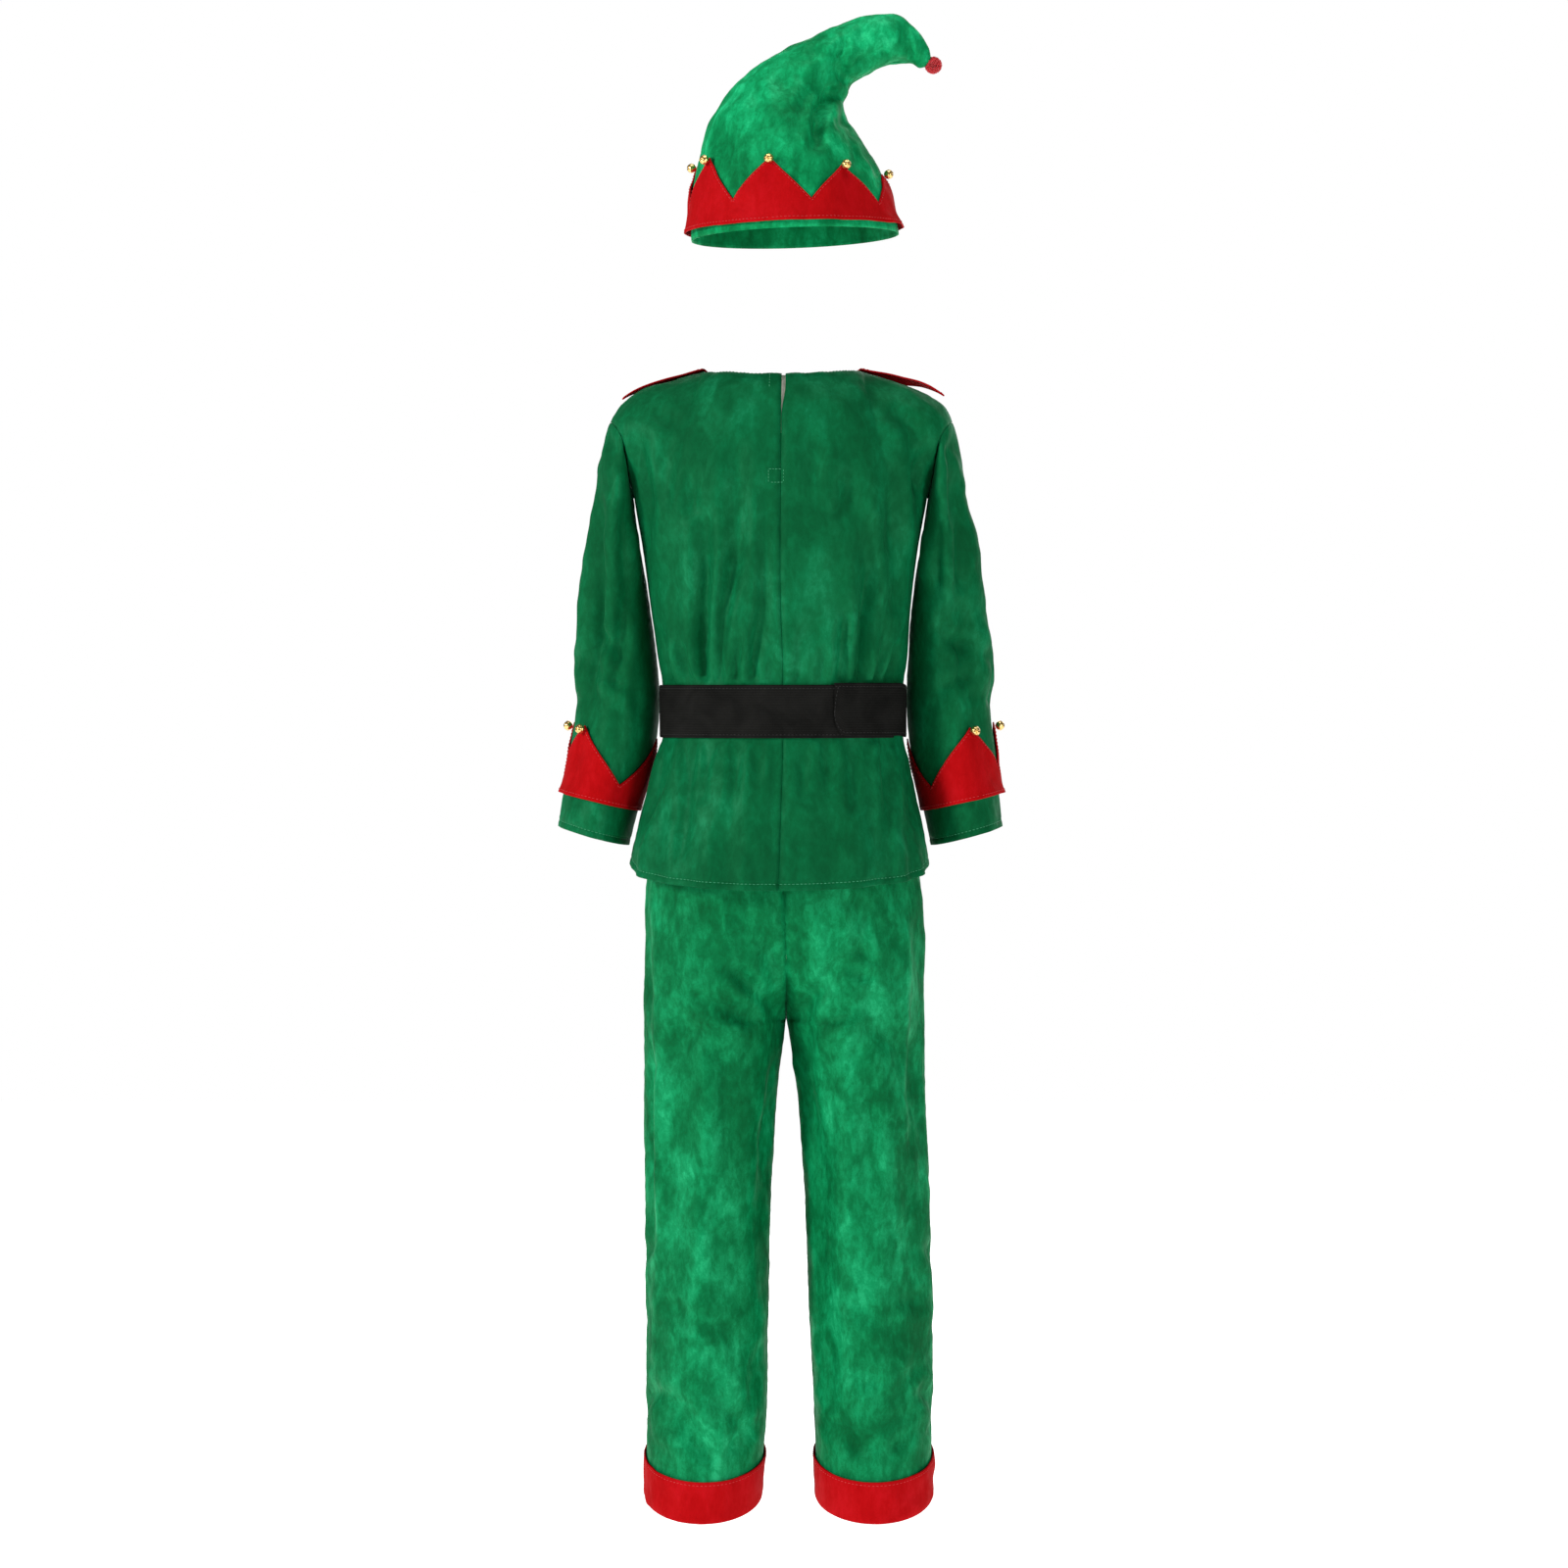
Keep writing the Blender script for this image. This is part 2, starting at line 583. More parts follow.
def hem_relief(height, along, turned_up, seed=0):
    """A hem turned up and stitched: fuller below the stitch line, pulled in at it."""
    line = np.exp(-((height - turned_up) / 1.1) ** 2)
    full = ease(1 - height / turned_up) * 0.35
    pucker = np.sin(along / 2.6 + seed) * np.sin(along / 7.1 + 3 * seed)
    return full - 0.65 * line + 0.35 * pucker * np.exp(-((height - turned_up) / 4) ** 2)


# %% A sheet as a mesh
def sheet_object(name, points, wall, material, ring=False):
    """An open sheet with its wall inside, and a map of the flat cloth in metres."""
    columns, rows = points.shape[:2]
    index = np.arange(columns * rows).reshape(columns, rows)
    right = np.roll(index, -1, axis=0) if ring else index[1:]
    left = index if ring else index[:-1]
    quads = np.stack((left[:, :-1], right[:, :-1], right[:, 1:], left[:, 1:]), axis=-1)
    mesh = bpy.data.meshes.new(name)
    mesh.from_pydata(points.reshape(-1, 3) * MM, [], quads.reshape(-1, 4).tolist())
    closed = np.concatenate((points, points[:1])) if ring else points
    along = lengths(closed, 0) * MM
    along = along - along[-1:] / 2
    up = lengths(closed, 1) * MM
    flat = np.stack((along, up), axis=-1)
    corner = np.stack((flat[:-1, :-1], flat[1:, :-1], flat[1:, 1:], flat[:-1, 1:]), axis=2)
    layer = mesh.uv_layers.new(name="cloth")
    layer.data.foreach_set("uv", corner.reshape(-1))
    mesh.shade_smooth()
    mesh.materials.append(material)
    piece = bpy.data.objects.new(name, mesh)
    bpy.context.scene.collection.objects.link(piece)
    if wall:
        solidify = piece.modifiers.new("wall", "SOLIDIFY")
        solidify.thickness = wall * MM
        solidify.offset = -1
    return piece


def dress(piece, nodes):
    """Gives a piece its body and its solid, and declares a sheet's cut."""
    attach(piece, "root")
    if nodes:
        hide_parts(*nodes)

# %% [markdown]
# ## Crushed velvet
# The green cloth is a cheap crushed velvet: its short pile lies in a different
# direction in every patch, so that light and dark blotches of a centimetre or two
# cover it, with finer streaks inside them. A node group mixes three sizes of warped
# noise into one nap value. Both the green and the red pile use it, each with its own
# scale and contrast, and it gives out only a mask and a height.

# %% Node helpers
def new_material(name):
    material = bpy.data.materials.new(name)
    material.use_nodes = True
    tree = material.node_tree
    return material, tree.nodes, tree.links, tree.nodes["Principled BSDF"]


def math_node(nodes, links, operation, first, second):
    node = nodes.new("ShaderNodeMath")
    node.operation = operation
    for socket, value in zip(node.inputs, (first, second)):
        if isinstance(value, (int, float)):
            socket.default_value = value
        else:
            links.new(value, socket)
    return node.outputs["Value"]


def noise_node(nodes, links, vector, scale, detail, distortion, roughness=0.55):
    node = nodes.new("ShaderNodeTexNoise")
    links.new(vector, node.inputs["Vector"])
    node.inputs["Scale"].default_value = scale
    node.inputs["Detail"].default_value = detail
    node.inputs["Roughness"].default_value = roughness
    node.inputs["Distortion"].default_value = distortion
    return node.outputs["Fac"]


def remap(nodes, links, value, low, high, to_low=0.0, to_high=1.0):
    node = nodes.new("ShaderNodeMapRange")
    node.interpolation_type = "SMOOTHSTEP"
    links.new(value, node.inputs["Value"])
    node.inputs["From Min"].default_value = low
    node.inputs["From Max"].default_value = high
    node.inputs["To Min"].default_value = to_low
    node.inputs["To Max"].default_value = to_high
    return node.outputs["Result"]


# %% Node group for pile that lies in patches
def make_pile_group():
    group = bpy.data.node_groups.new("pile in patches", "ShaderNodeTree")
    group.interface.new_socket("Place", in_out="INPUT", socket_type="NodeSocketVector")
    group.interface.new_socket("Size", in_out="INPUT", socket_type="NodeSocketFloat")
    group.interface.new_socket("Nap", in_out="OUTPUT", socket_type="NodeSocketFloat")
    group.interface.new_socket("Height", in_out="OUTPUT", socket_type="NodeSocketFloat")
    nodes, links = group.nodes, group.links
    given, result = nodes.new("NodeGroupInput"), nodes.new("NodeGroupOutput")
    scaled = nodes.new("ShaderNodeVectorMath")
    scaled.operation = "SCALE"
    links.new(given.outputs["Place"], scaled.inputs[0])
    links.new(given.outputs["Size"], scaled.inputs["Scale"])
    at = scaled.outputs["Vector"]
    stretched = nodes.new("ShaderNodeVectorMath")
    stretched.operation = "MULTIPLY"
    stretched.inputs[1].default_value = (1.0, 1.0, 0.55)
    links.new(at, stretched.inputs[0])
    brushed = stretched.outputs["Vector"]
    broad = remap(nodes, links, noise_node(nodes, links, at, 8, 2, 0.3), 0.32, 0.68)
    patch = remap(nodes, links, noise_node(nodes, links, brushed, 40, 4, 0.4, 0.6), 0.30, 0.70)
    streak = remap(nodes, links, noise_node(nodes, links, brushed, 170, 3, 0.4, 0.6), 0.30, 0.70)
    fine = noise_node(nodes, links, at, 620, 3, 0.0, 0.7)
    coarse = math_node(nodes, links, "ADD", math_node(nodes, links, "MULTIPLY", broad, 0.22),
                       math_node(nodes, links, "MULTIPLY", patch, 0.34))
    small = math_node(nodes, links, "ADD", math_node(nodes, links, "MULTIPLY", streak, 0.18),
                      math_node(nodes, links, "MULTIPLY", fine, 0.26))
    links.new(math_node(nodes, links, "ADD", coarse, small), result.inputs["Nap"])
    height = math_node(nodes, links, "ADD", math_node(nodes, links, "MULTIPLY", patch, 0.35),
                       math_node(nodes, links, "MULTIPLY", streak, 0.25))
    links.new(math_node(nodes, links, "ADD", height, math_node(nodes, links, "MULTIPLY", fine, 0.3)),
              result.inputs["Height"])
    return group


PILE = make_pile_group()


def pile_material(name, colours, size, roughness, sheen, sheen_tint, bump):
    """Velvet: colours is a ramp from nap that leans away to nap that faces the light."""
    material, nodes, links, shader = new_material(name)
    coordinates = nodes.new("ShaderNodeTexCoord")
    pile = nodes.new("ShaderNodeGroup")
    pile.node_tree = PILE
    pile.inputs["Size"].default_value = size
    links.new(coordinates.outputs["Object"], pile.inputs["Place"])
    ramp = nodes.new("ShaderNodeValToRGB")
    ramp.color_ramp.elements.remove(ramp.color_ramp.elements[1])
    for number, (share, colour) in enumerate(colours):
        stop = ramp.color_ramp.elements[0] if number == 0 else ramp.color_ramp.elements.new(share)
        stop.position = share
        stop.color = (*colour, 1)
    links.new(pile.outputs["Nap"], ramp.inputs["Fac"])
    links.new(ramp.outputs["Color"], shader.inputs["Base Color"])
    rough = remap(nodes, links, pile.outputs["Nap"], 0.2, 0.8, roughness + 0.12, roughness - 0.1)
    links.new(rough, shader.inputs["Roughness"])
    relief = nodes.new("ShaderNodeBump")
    relief.inputs["Strength"].default_value = bump
    relief.inputs["Distance"].default_value = 0.0012
    links.new(pile.outputs["Height"], relief.inputs["Height"])
    links.new(relief.outputs["Normal"], shader.inputs["Normal"])
    shader.inputs["Specular IOR Level"].default_value = 0.06
    shader.inputs["Sheen Weight"].default_value = sheen
    shader.inputs["Sheen Roughness"].default_value = 0.35
    shader.inputs["Sheen Tint"].default_value = (*sheen_tint, 1)
    return material


def green_velvet(name, brightness, contrast=1.0):
    """The same dye on three cuts of cloth, whose pile was brushed by wear to other lights."""
    ramp = ((0.18, (0.000, 0.078, 0.021)), (0.38, (0.000, 0.122, 0.036)), (0.52, (0.001, 0.165, 0.052)),
            (0.68, (0.003, 0.235, 0.082)), (0.86, (0.014, 0.36, 0.145)))
    middle = ramp[2][1]
    lit = tuple((share, tuple(brightness * (m + contrast * (value - m)) for value, m in zip(colour, middle)))
                for share, colour in ramp)
    return pile_material(name, lit, size=1.0, roughness=0.62, sheen=0.06,
                         sheen_tint=(0.1, 0.7, 0.35), bump=0.25)


VELVET_GREEN = green_velvet("green velvet of the tunic", 0.66, 0.62)
VELVET_TROUSERS = green_velvet("green velvet of the trousers", 1.02)
VELVET_HAT = green_velvet("green velvet of the hat", 1.5)
VELVET_RED = pile_material(
    "red velvet",
    ((0.15, (0.34, 0.0010, 0.002)), (0.5, (0.40, 0.0012, 0.003)), (0.85, (0.46, 0.002, 0.006))),
    size=1.6, roughness=0.78, sheen=0.04, sheen_tint=(1.0, 0.1, 0.1), bump=0.12)
print("velvet colours:", VELVET_GREEN.name, "and", VELVET_RED.name)

# %% [markdown]
# ## The other finishes
# The belt is a matt black strip of ribbed elastic webbing: ribs run along it, and the
# weft crosses them. Its pattern is laid on the flat cloth, so that it follows the
# strip. The bells are thin plated brass, the thread is a plain polyester, and the tape
# under the slit is a cream hook-and-loop strip with a fuzzy face.

# %% Webbing, metal, thread, tape and yarn
def webbing_material():
    material, nodes, links, shader = new_material("black ribbed webbing")
    flat = nodes.new("ShaderNodeUVMap")
    flat.uv_map = "cloth"
    split = nodes.new("ShaderNodeSeparateXYZ")
    links.new(flat.outputs["UV"], split.inputs["Vector"])
    rib = math_node(nodes, links, "SINE",
                    math_node(nodes, links, "MULTIPLY", split.outputs["Y"], 2 * math.pi / 0.0022), 0)
    weft = math_node(nodes, links, "SINE",
                     math_node(nodes, links, "MULTIPLY", split.outputs["X"], 2 * math.pi / 0.0013), 0)
    weave = math_node(nodes, links, "ADD", math_node(nodes, links, "MULTIPLY", rib, 0.34),
                      math_node(nodes, links, "MULTIPLY", weft, 0.16))
    cloud = noise_node(nodes, links, flat.outputs["UV"], 38, 4, 0.8)
    mixed = math_node(nodes, links, "ADD", math_node(nodes, links, "MULTIPLY", weave, 0.35), cloud)
    ramp = nodes.new("ShaderNodeValToRGB")
    ramp.color_ramp.elements[0].position = 0.25
    ramp.color_ramp.elements[0].color = (0.004, 0.004, 0.0036, 1)
    ramp.color_ramp.elements[1].position = 0.85
    ramp.color_ramp.elements[1].color = (0.012, 0.0118, 0.0108, 1)
    links.new(mixed, ramp.inputs["Fac"])
    links.new(ramp.outputs["Color"], shader.inputs["Base Color"])
    relief = nodes.new("ShaderNodeBump")
    relief.inputs["Strength"].default_value = 0.5
    relief.inputs["Distance"].default_value = 0.0005
    links.new(weave, relief.inputs["Height"])
    links.new(relief.outputs["Normal"], shader.inputs["Normal"])
    shader.inputs["Roughness"].default_value = 0.85
    shader.inputs["Specular IOR Level"].default_value = 0.06
    shader.inputs["Sheen Weight"].default_value = 0.0
    return material


def bell_material():
    material, nodes, links, shader = new_material("gold plated bell")
    coordinates = nodes.new("ShaderNodeTexCoord")
    wear = noise_node(nodes, links, coordinates.outputs["Object"], 700, 4, 0.5)
    ramp = nodes.new("ShaderNodeValToRGB")
    ramp.color_ramp.elements[0].position = 0.3
    ramp.color_ramp.elements[0].color = (0.62, 0.36, 0.10, 1)
    ramp.color_ramp.elements[1].position = 0.7
    ramp.color_ramp.elements[1].color = (0.95, 0.70, 0.30, 1)
    links.new(wear, ramp.inputs["Fac"])
    links.new(ramp.outputs["Color"], shader.inputs["Base Color"])
    links.new(remap(nodes, links, wear, 0.3, 0.7, 0.34, 0.2), shader.inputs["Roughness"])
    shader.inputs["Metallic"].default_value = 1.0
    return material


def fibre_material(name, dark, light, scale, roughness, sheen):
    """Thread, tape and yarn: a fine fibre noise between two close colours."""
    material, nodes, links, shader = new_material(name)
    coordinates = nodes.new("ShaderNodeTexCoord")
    fibres = noise_node(nodes, links, coordinates.outputs["Object"], scale, 4, 1.2)
    ramp = nodes.new("ShaderNodeValToRGB")
    ramp.color_ramp.elements[0].position = 0.3
    ramp.color_ramp.elements[0].color = (*dark, 1)
    ramp.color_ramp.elements[1].position = 0.7
    ramp.color_ramp.elements[1].color = (*light, 1)
    links.new(fibres, ramp.inputs["Fac"])
    links.new(ramp.outputs["Color"], shader.inputs["Base Color"])
    relief = nodes.new("ShaderNodeBump")
    relief.inputs["Strength"].default_value = 0.4
    relief.inputs["Distance"].default_value = 0.0004
    links.new(fibres, relief.inputs["Height"])
    links.new(relief.outputs["Normal"], shader.inputs["Normal"])
    shader.inputs["Roughness"].default_value = roughness
    shader.inputs["Sheen Weight"].default_value = sheen
    return material


WEBBING_BLACK = webbing_material()
BELL_GOLD = bell_material()
THREAD_GREEN = fibre_material("green thread", (0.006, 0.19, 0.075), (0.03, 0.36, 0.16), 1500, 0.6, 0.1)
THREAD_RED = fibre_material("red thread", (0.42, 0.004, 0.006), (0.62, 0.014, 0.02), 1500, 0.6, 0.1)
THREAD_BLACK = fibre_material("black thread", (0.003, 0.003, 0.003), (0.012, 0.012, 0.012), 1500, 0.6, 0.0)
TAPE_CREAM = fibre_material("cream tape", (0.55, 0.50, 0.42), (0.80, 0.76, 0.68), 1300, 0.9, 0.2)
YARN_RED = fibre_material("red yarn", (0.42, 0.004, 0.008), (0.72, 0.018, 0.03), 1200, 0.85, 0.3)

# %% [markdown]
# ## Stitches
# A stitched line is what makes a hem or a neckline read as sewn. Each stitch is a
# short round thread that dips into the cloth at both ends. All the stitches of a line
# are one joined mesh, spaced evenly along the cloth, whatever its grid is.

# %% Lines of stitches
def stitch_line(points, normals, length=2.7, gap=1.0, closed=False):
    """Places of stitches along a line of points: start, middle, end and normal of each."""
    if closed:
        points, normals = np.vstack((points, points[:1])), np.vstack((normals, normals[:1]))
    along = np.concatenate(([0], np.cumsum(np.linalg.norm(np.diff(points, axis=0), axis=1))))
    starts = np.arange(0.5 * gap, along[-1] - length, length + gap)

    def at(distance, values):
        return np.stack([np.interp(distance, along, values[:, k]) for k in range(3)], axis=-1)

    up = at(starts + length / 2, normals)
    return at(starts, points), at(starts + length / 2, points), at(starts + length, points), up


def stitches(name, lines, material, thread=0.30):
    """One mesh of all the stitches of several lines."""
    start, middle, end, up = (np.concatenate(part) for part in zip(*lines))
    run = end - start
    run /= np.linalg.norm(run, axis=1)[:, None]
    up /= np.linalg.norm(up, axis=1)[:, None]
    side = np.cross(run, up)
    rings = []
    for share, rise, radius in ((0, -0.30, 0.55), (0.2, 0.12, 0.95), (0.5, 0.30, 1.0),
                                (0.8, 0.12, 0.95), (1, -0.30, 0.55)):
        centre = start + (end - start) * share + up * rise * thread / 0.3
        for k in range(5):
            angle = 2 * math.pi * k / 5
            rings.append(centre + thread * radius * (side * math.cos(angle) + up * math.sin(angle)))
    count = len(start)
    vertices = np.stack(rings, axis=1).reshape(-1, 3) * MM
    faces = []
    for ring in range(4):
        for k in range(5):
            faces.append([ring * 5 + k, ring * 5 + (k + 1) % 5,
                          ring * 5 + 5 + (k + 1) % 5, ring * 5 + 5 + k])
    quads = (np.array(faces)[None] + 25 * np.arange(count)[:, None, None]).reshape(-1, 4)
    mesh = bpy.data.meshes.new(name)
    mesh.from_pydata(vertices, [], quads.tolist())
    mesh.shade_smooth()
    mesh.materials.append(material)
    piece = bpy.data.objects.new(name, mesh)
    bpy.context.scene.collection.objects.link(piece)
    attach(piece, "root")
    print(f"{name}: {count} stitches")
    return piece

# %% [markdown]
# ## Tunic
# The tunic is cut in three panels: a front on the fold and two backs that meet in a
# seam down the middle, which is left open as a short slit below the neck. The belt
# pulls the straight body in, so that creases radiate above and below it. Their places
# are listed by hand, unevenly, from what the back view shows. The front has its own
# list of the same kind, because no two sides of a worn garment crease alike.

# %% Creases of the tunic
BACK_CREASES = (
    (-43, -58, -46, -214, 10, 2.6, 0.02), (-70, -120, -72, -250, 8, 2.6, -0.01),
    (-86, -86, -84, -138, 7, 1.8, 0.03), (78, -130, 76, -250, 9, 2.8, 0.0),
    (99, -84, 100, -222, 11, 3.2, 0.02), (-134, -56, -127, -170, 6, 2.6, 0.05),
    (-17, -96, -18, -268, 6, 1.9, 0.0),
    (60, -66, 52, -156, 9, 1.5, 0.03), (22, -44, 26, -128, 10, 1.1, 0.03),
    (-100, -46, -110, -124, 9, 1.8, 0.0), (114, -42, 123, -112, 8, 2.2, 0.0),
    (131, -60, 126, -152, 6, 2.6, -0.05),
    (-118, -34, -90, -52, 8, 1.3, 0.05), (96, -30, 124, -50, 8, 1.3, -0.05))
FRONT_CREASES = (
    (38, -84, 44, -226, 8, 2.2, 0.03), (-52, -96, -46, -208, 8, 2.0, -0.03),
    (76, -116, 70, -230, 7, 2.2, 0.02), (-88, -90, -92, -222, 9, 2.8, 0.0),
    (-14, -120, -8, -232, 7, 1.5, 0.02), (104, -86, 98, -196, 9, 2.8, 0.03),
    (128, -60, 122, -160, 6, 2.4, 0.04), (-132, -58, -124, -150, 6, 2.4, -0.04),
    (12, -66, 30, -112, 9, 1.4, 0.05), (-24, -70, -44, -118, 9, 1.3, -0.05))
SIDE_CREASES = (
    (-26, -150, -20, -262, 8, 2.0, 0.02), (24, -160, 28, -256, 8, 2.0, 0.0),
    (2, -190, 4, -270, 6, 1.4, 0.0), (-34, -350, -44, -430, 8, 2.4, 0.0),
    (30, -346, 40, -436, 9, 2.4, 0.02), (0, -352, 0, -420, 7, 1.6, 0.0))

Gather = namedtuple("Gather", "place reach lean width depth")
ABOVE_BELT_BACK = (
    (-99, 58, -16, 5.0, 3.4), (-84, 44, -10, 4.4, 2.6), (-71, 118, 0, 6.0, 3.6),
    (-58, 124, 13, 6.0, 3.4), (-43, 50, 4, 4.2, 1.8), (-26, 76, 5, 5.0, 2.6),
    (12, 46, 2, 4.4, 1.6), (34, 40, 3, 4.4, 1.6), (52, 70, 5, 4.8, 2.0),
    (70, 110, 11, 5.4, 3.4), (83, 48, 12, 4.4, 2.6), (94, 62, 22, 5.0, 3.4),
    (105, 44, 14, 4.2, 2.6))
BELOW_BELT_BACK = (
    (-104, 70, -16, 5.0, 3.4), (-86, 118, -10, 6.5, 4.0), (-68, 60, -8, 4.6, 2.6),
    (-44, 66, -4, 4.6, 2.0), (-24, 48, -2, 4.4, 1.8), (-10, 110, 2, 5.0, 1.8),
    (14, 60, 2, 4.6, 1.6), (36, 52, 3, 4.6, 2.0), (58, 72, 4, 5.0, 2.2),
    (88, 128, 6, 5.5, 2.8), (102, 84, 16, 6.5, 4.2), (112, 60, 14, 4.5, 3.0))
ABOVE_BELT_FRONT = (
    (-98, 70, -12, 5.0, 3.2), (-80, 108, -6, 5.8, 3.4), (-60, 52, -4, 4.6, 2.4),
    (-42, 92, -3, 5.4, 2.8), (-20, 50, -1, 4.6, 1.8), (4, 84, 1, 5.0, 2.2),
    (28, 54, 2, 4.6, 2.0), (48, 112, 6, 5.8, 3.2), (68, 58, 8, 4.6, 2.6),
    (84, 96, 12, 5.6, 3.4), (100, 48, 12, 4.6, 2.8))
BELOW_BELT_FRONT = (
    (-102, 96, -15, 6.0, 3.8), (-82, 60, -9, 4.6, 2.6), (-62, 116, -7, 6.2, 3.6),
    (-36, 66, -3, 4.8, 2.2), (-12, 90, -1, 5.2, 2.4), (12, 54, 1, 4.6, 1.8),
    (34, 108, 4, 6.0, 3.4), (58, 64, 6, 4.8, 2.4), (80, 120, 10, 6.2, 3.8),
    (101, 74, 14, 5.0, 3.2))


def gather_creases(table, edge, way):
    """Creases that start under the belt's edge and run away from it, up or down."""
    rows = []
    for gather in table:
        g = Gather(*gather)
        rows.append((g.place - 0.4 * g.lean, edge - way * 0.5 * g.reach, g.place + g.lean,
                     edge + way * g.reach, g.width, g.depth, 0.02))
    return tuple(rows)


BELT_BOTTOM = BELT_TOP - BELT_HEIGHT
BACK_CREASES += gather_creases(ABOVE_BELT_BACK, BELT_TOP, 1)
BACK_CREASES += gather_creases(BELOW_BELT_BACK, BELT_BOTTOM, -1)
FRONT_CREASES += gather_creases(ABOVE_BELT_FRONT, BELT_TOP, 1)
FRONT_CREASES += gather_creases(BELOW_BELT_FRONT, BELT_BOTTOM, -1)
print("tunic creases: back", len(BACK_CREASES), "front", len(FRONT_CREASES))

# %% Tunic panels
HEM_STEPS = np.array((0, 1.2, 2.6, 4.2, 5.2, 6.0, 6.8, 7.8, 9.6))
HEM_STITCH = 6.0          # of every turned-up hem, from its edge
NECK_STITCH = 4.5


def hem_to_top(length, count):
    """Rows from a hem to the far end, in mm, close together where the hem is stitched."""
    rest = HEM_STEPS[-1] + (length - HEM_STEPS[-1]) * np.arange(1, count + 1)[None] / count
    return np.concatenate((np.broadcast_to(HEM_STEPS, (len(length), len(HEM_STEPS))), rest), axis=1)


def tunic_levels(share, face):
    angle = 90 * share if face == "back" else 180 - 90 * share
    length = (ARMPIT_Z - hem_z(angle))[:, None]
    body = hem_to_top(length, 110) / length
    yoke_rows = np.broadcast_to(1 + np.arange(1, 49) / 48, (len(share), 48))
    return np.concatenate((body, yoke_rows), axis=1)


def slit_opening(share, level):
    """How far the right-hand edge of the slit stands away from the seam."""
    z = tunic(0 * share, level, "back")[..., 2]
    across = np.maximum(1 - np.abs(share) * 5.6, 0)
    return (SLIT_WIDTH - SEAM_GAP) * across * ease((z + SLIT_LENGTH) / 30)


def edge_distances(points):
    across, up = lengths(points, 0), lengths(points, 1)
    return across, across[-1:] - across, up, up[:, -1:] - up


def free_of_belt(z):
    """0 where the belt holds the cloth flat, 1 away from it."""
    return np.maximum(ease((z - BELT_TOP - 0.5) / 7), ease((BELT_BOTTOM - 0.5 - z) / 7))


def tunic_panel(name, share, face, shift, seed, opening=None):
    share = share[:, None]
    level = tunic_levels(share[:, 0], face)
    points = tunic(share, level, face)
    if opening is not None:
        points[..., 0] += opening(share, level)
    points = points + np.array(shift) * SEAM_GAP / 2
    normals = surface_normals(points)
    if face == "back":
        normals[..., 0] *= 1 - np.exp(-(share / 0.06) ** 2)
    first, last, up, down = edge_distances(points)
    gain = np.where(points[..., 2] > BELT_TOP, BODICE_GAIN, SKIRT_GAIN)
    relief = creased(points, normals, "back", BACK_CREASES, gain)
    relief += creased(points, normals, "front", FRONT_CREASES, gain)
    relief += creased(points, normals, "left", SIDE_CREASES)
    relief += creased(points, normals, "right", SIDE_CREASES)
    relief += wander(points, 46, 0.8, seed) + wander(points, 19, 0.28, seed + 1)
    relief *= free_of_belt(points[..., 2])
    relief *= ease(0.12 + np.minimum(first, last) / 20)
    under_arm = ease((-72 - points[..., 2]) / 15) * ease((points[..., 2] + 280) / 30)
    relief *= 1 - 0.85 * under_arm * ease((np.abs(share) - 0.76) / 0.12)
    seams = seam_roll(first, up, 0.7, seed) + seam_roll(last, up, 0.7, seed + 3)
    relief += seams * free_of_belt(points[..., 2]) * (1 - 0.7 * under_arm)
    relief += seam_roll(down, first, 0.8, seed)
    relief += hem_relief(up, first, HEM_STITCH, seed)
    relief += -0.45 * np.exp(-((down - NECK_STITCH) / 1.2) ** 2) * (np.abs(share) < NECK_SHARE)
    below_belt = ease((BELT_BOTTOM - points[..., 2]) / SKIRT_SPREAD)
    deepest = np.where(points[..., 2] < BELT_BOTTOM, -HIP_ROOM - SKIRT_ROOM * below_belt, -99)
    relief = np.maximum(relief, deepest)
    points = points + normals * relief[..., None]
    piece = sheet_object(name + "_cloth", points, 1.2, VELVET_GREEN)
    dress(piece, [name])
    return points, surface_normals(points)


front, front_normals = tunic_panel("tunic_front", np.linspace(1, -1, 131), "front", (0, 1, 0), 3)
back_left, back_left_normals = tunic_panel(
    "tunic_back_left", np.linspace(-1, 0, 67), "back", (-1, -1, 0), 5)
back_right, back_right_normals = tunic_panel(
    "tunic_back_right", np.linspace(0, 1, 67), "back", (1, -1, 0), 9, slit_opening)

# %% Stitching of the tunic
def line_beside(points, normals, distance, edge, part=slice(None)):
    """A line that keeps its distance in mm to the bottom, top, first or last edge."""
    if edge in ("first", "last"):
        points, normals = points.swapaxes(0, 1), normals.swapaxes(0, 1)
    if edge in ("top", "last"):
        points, normals = points[:, ::-1], normals[:, ::-1]
    along = lengths(points, 1)
    line, up = [], []
    for column, normal, s in zip(points[part], normals[part], along[part]):
        line.append([np.interp(distance, s, column[:, k]) for k in range(3)])
        up.append([np.interp(distance, s, normal[:, k]) for k in range(3)])
    return np.array(line), np.array(up)


def box_outline(centre, width, height):
    """Corners of a small stitched rectangle, closed, in the view from behind."""
    x, z = centre
    return [(x - width / 2, z + height / 2), (x + width / 2, z + height / 2),
            (x + width / 2, z - height / 2), (x - width / 2, z - height / 2),
            (x - width / 2, z + height / 2)]


def on_panel(points, normals, x, z):
    """The point of a panel nearest to a place in the view from behind."""
    near = np.hypot(points[..., 0] - x, points[..., 2] - z) + 50 * (normals[..., 1] > 0)
    i, k = np.unravel_index(near.argmin(), near.shape)
    place_here = points[i, k].copy()
    place_here[0], place_here[2] = x, z
    return place_here, normals[i, k]


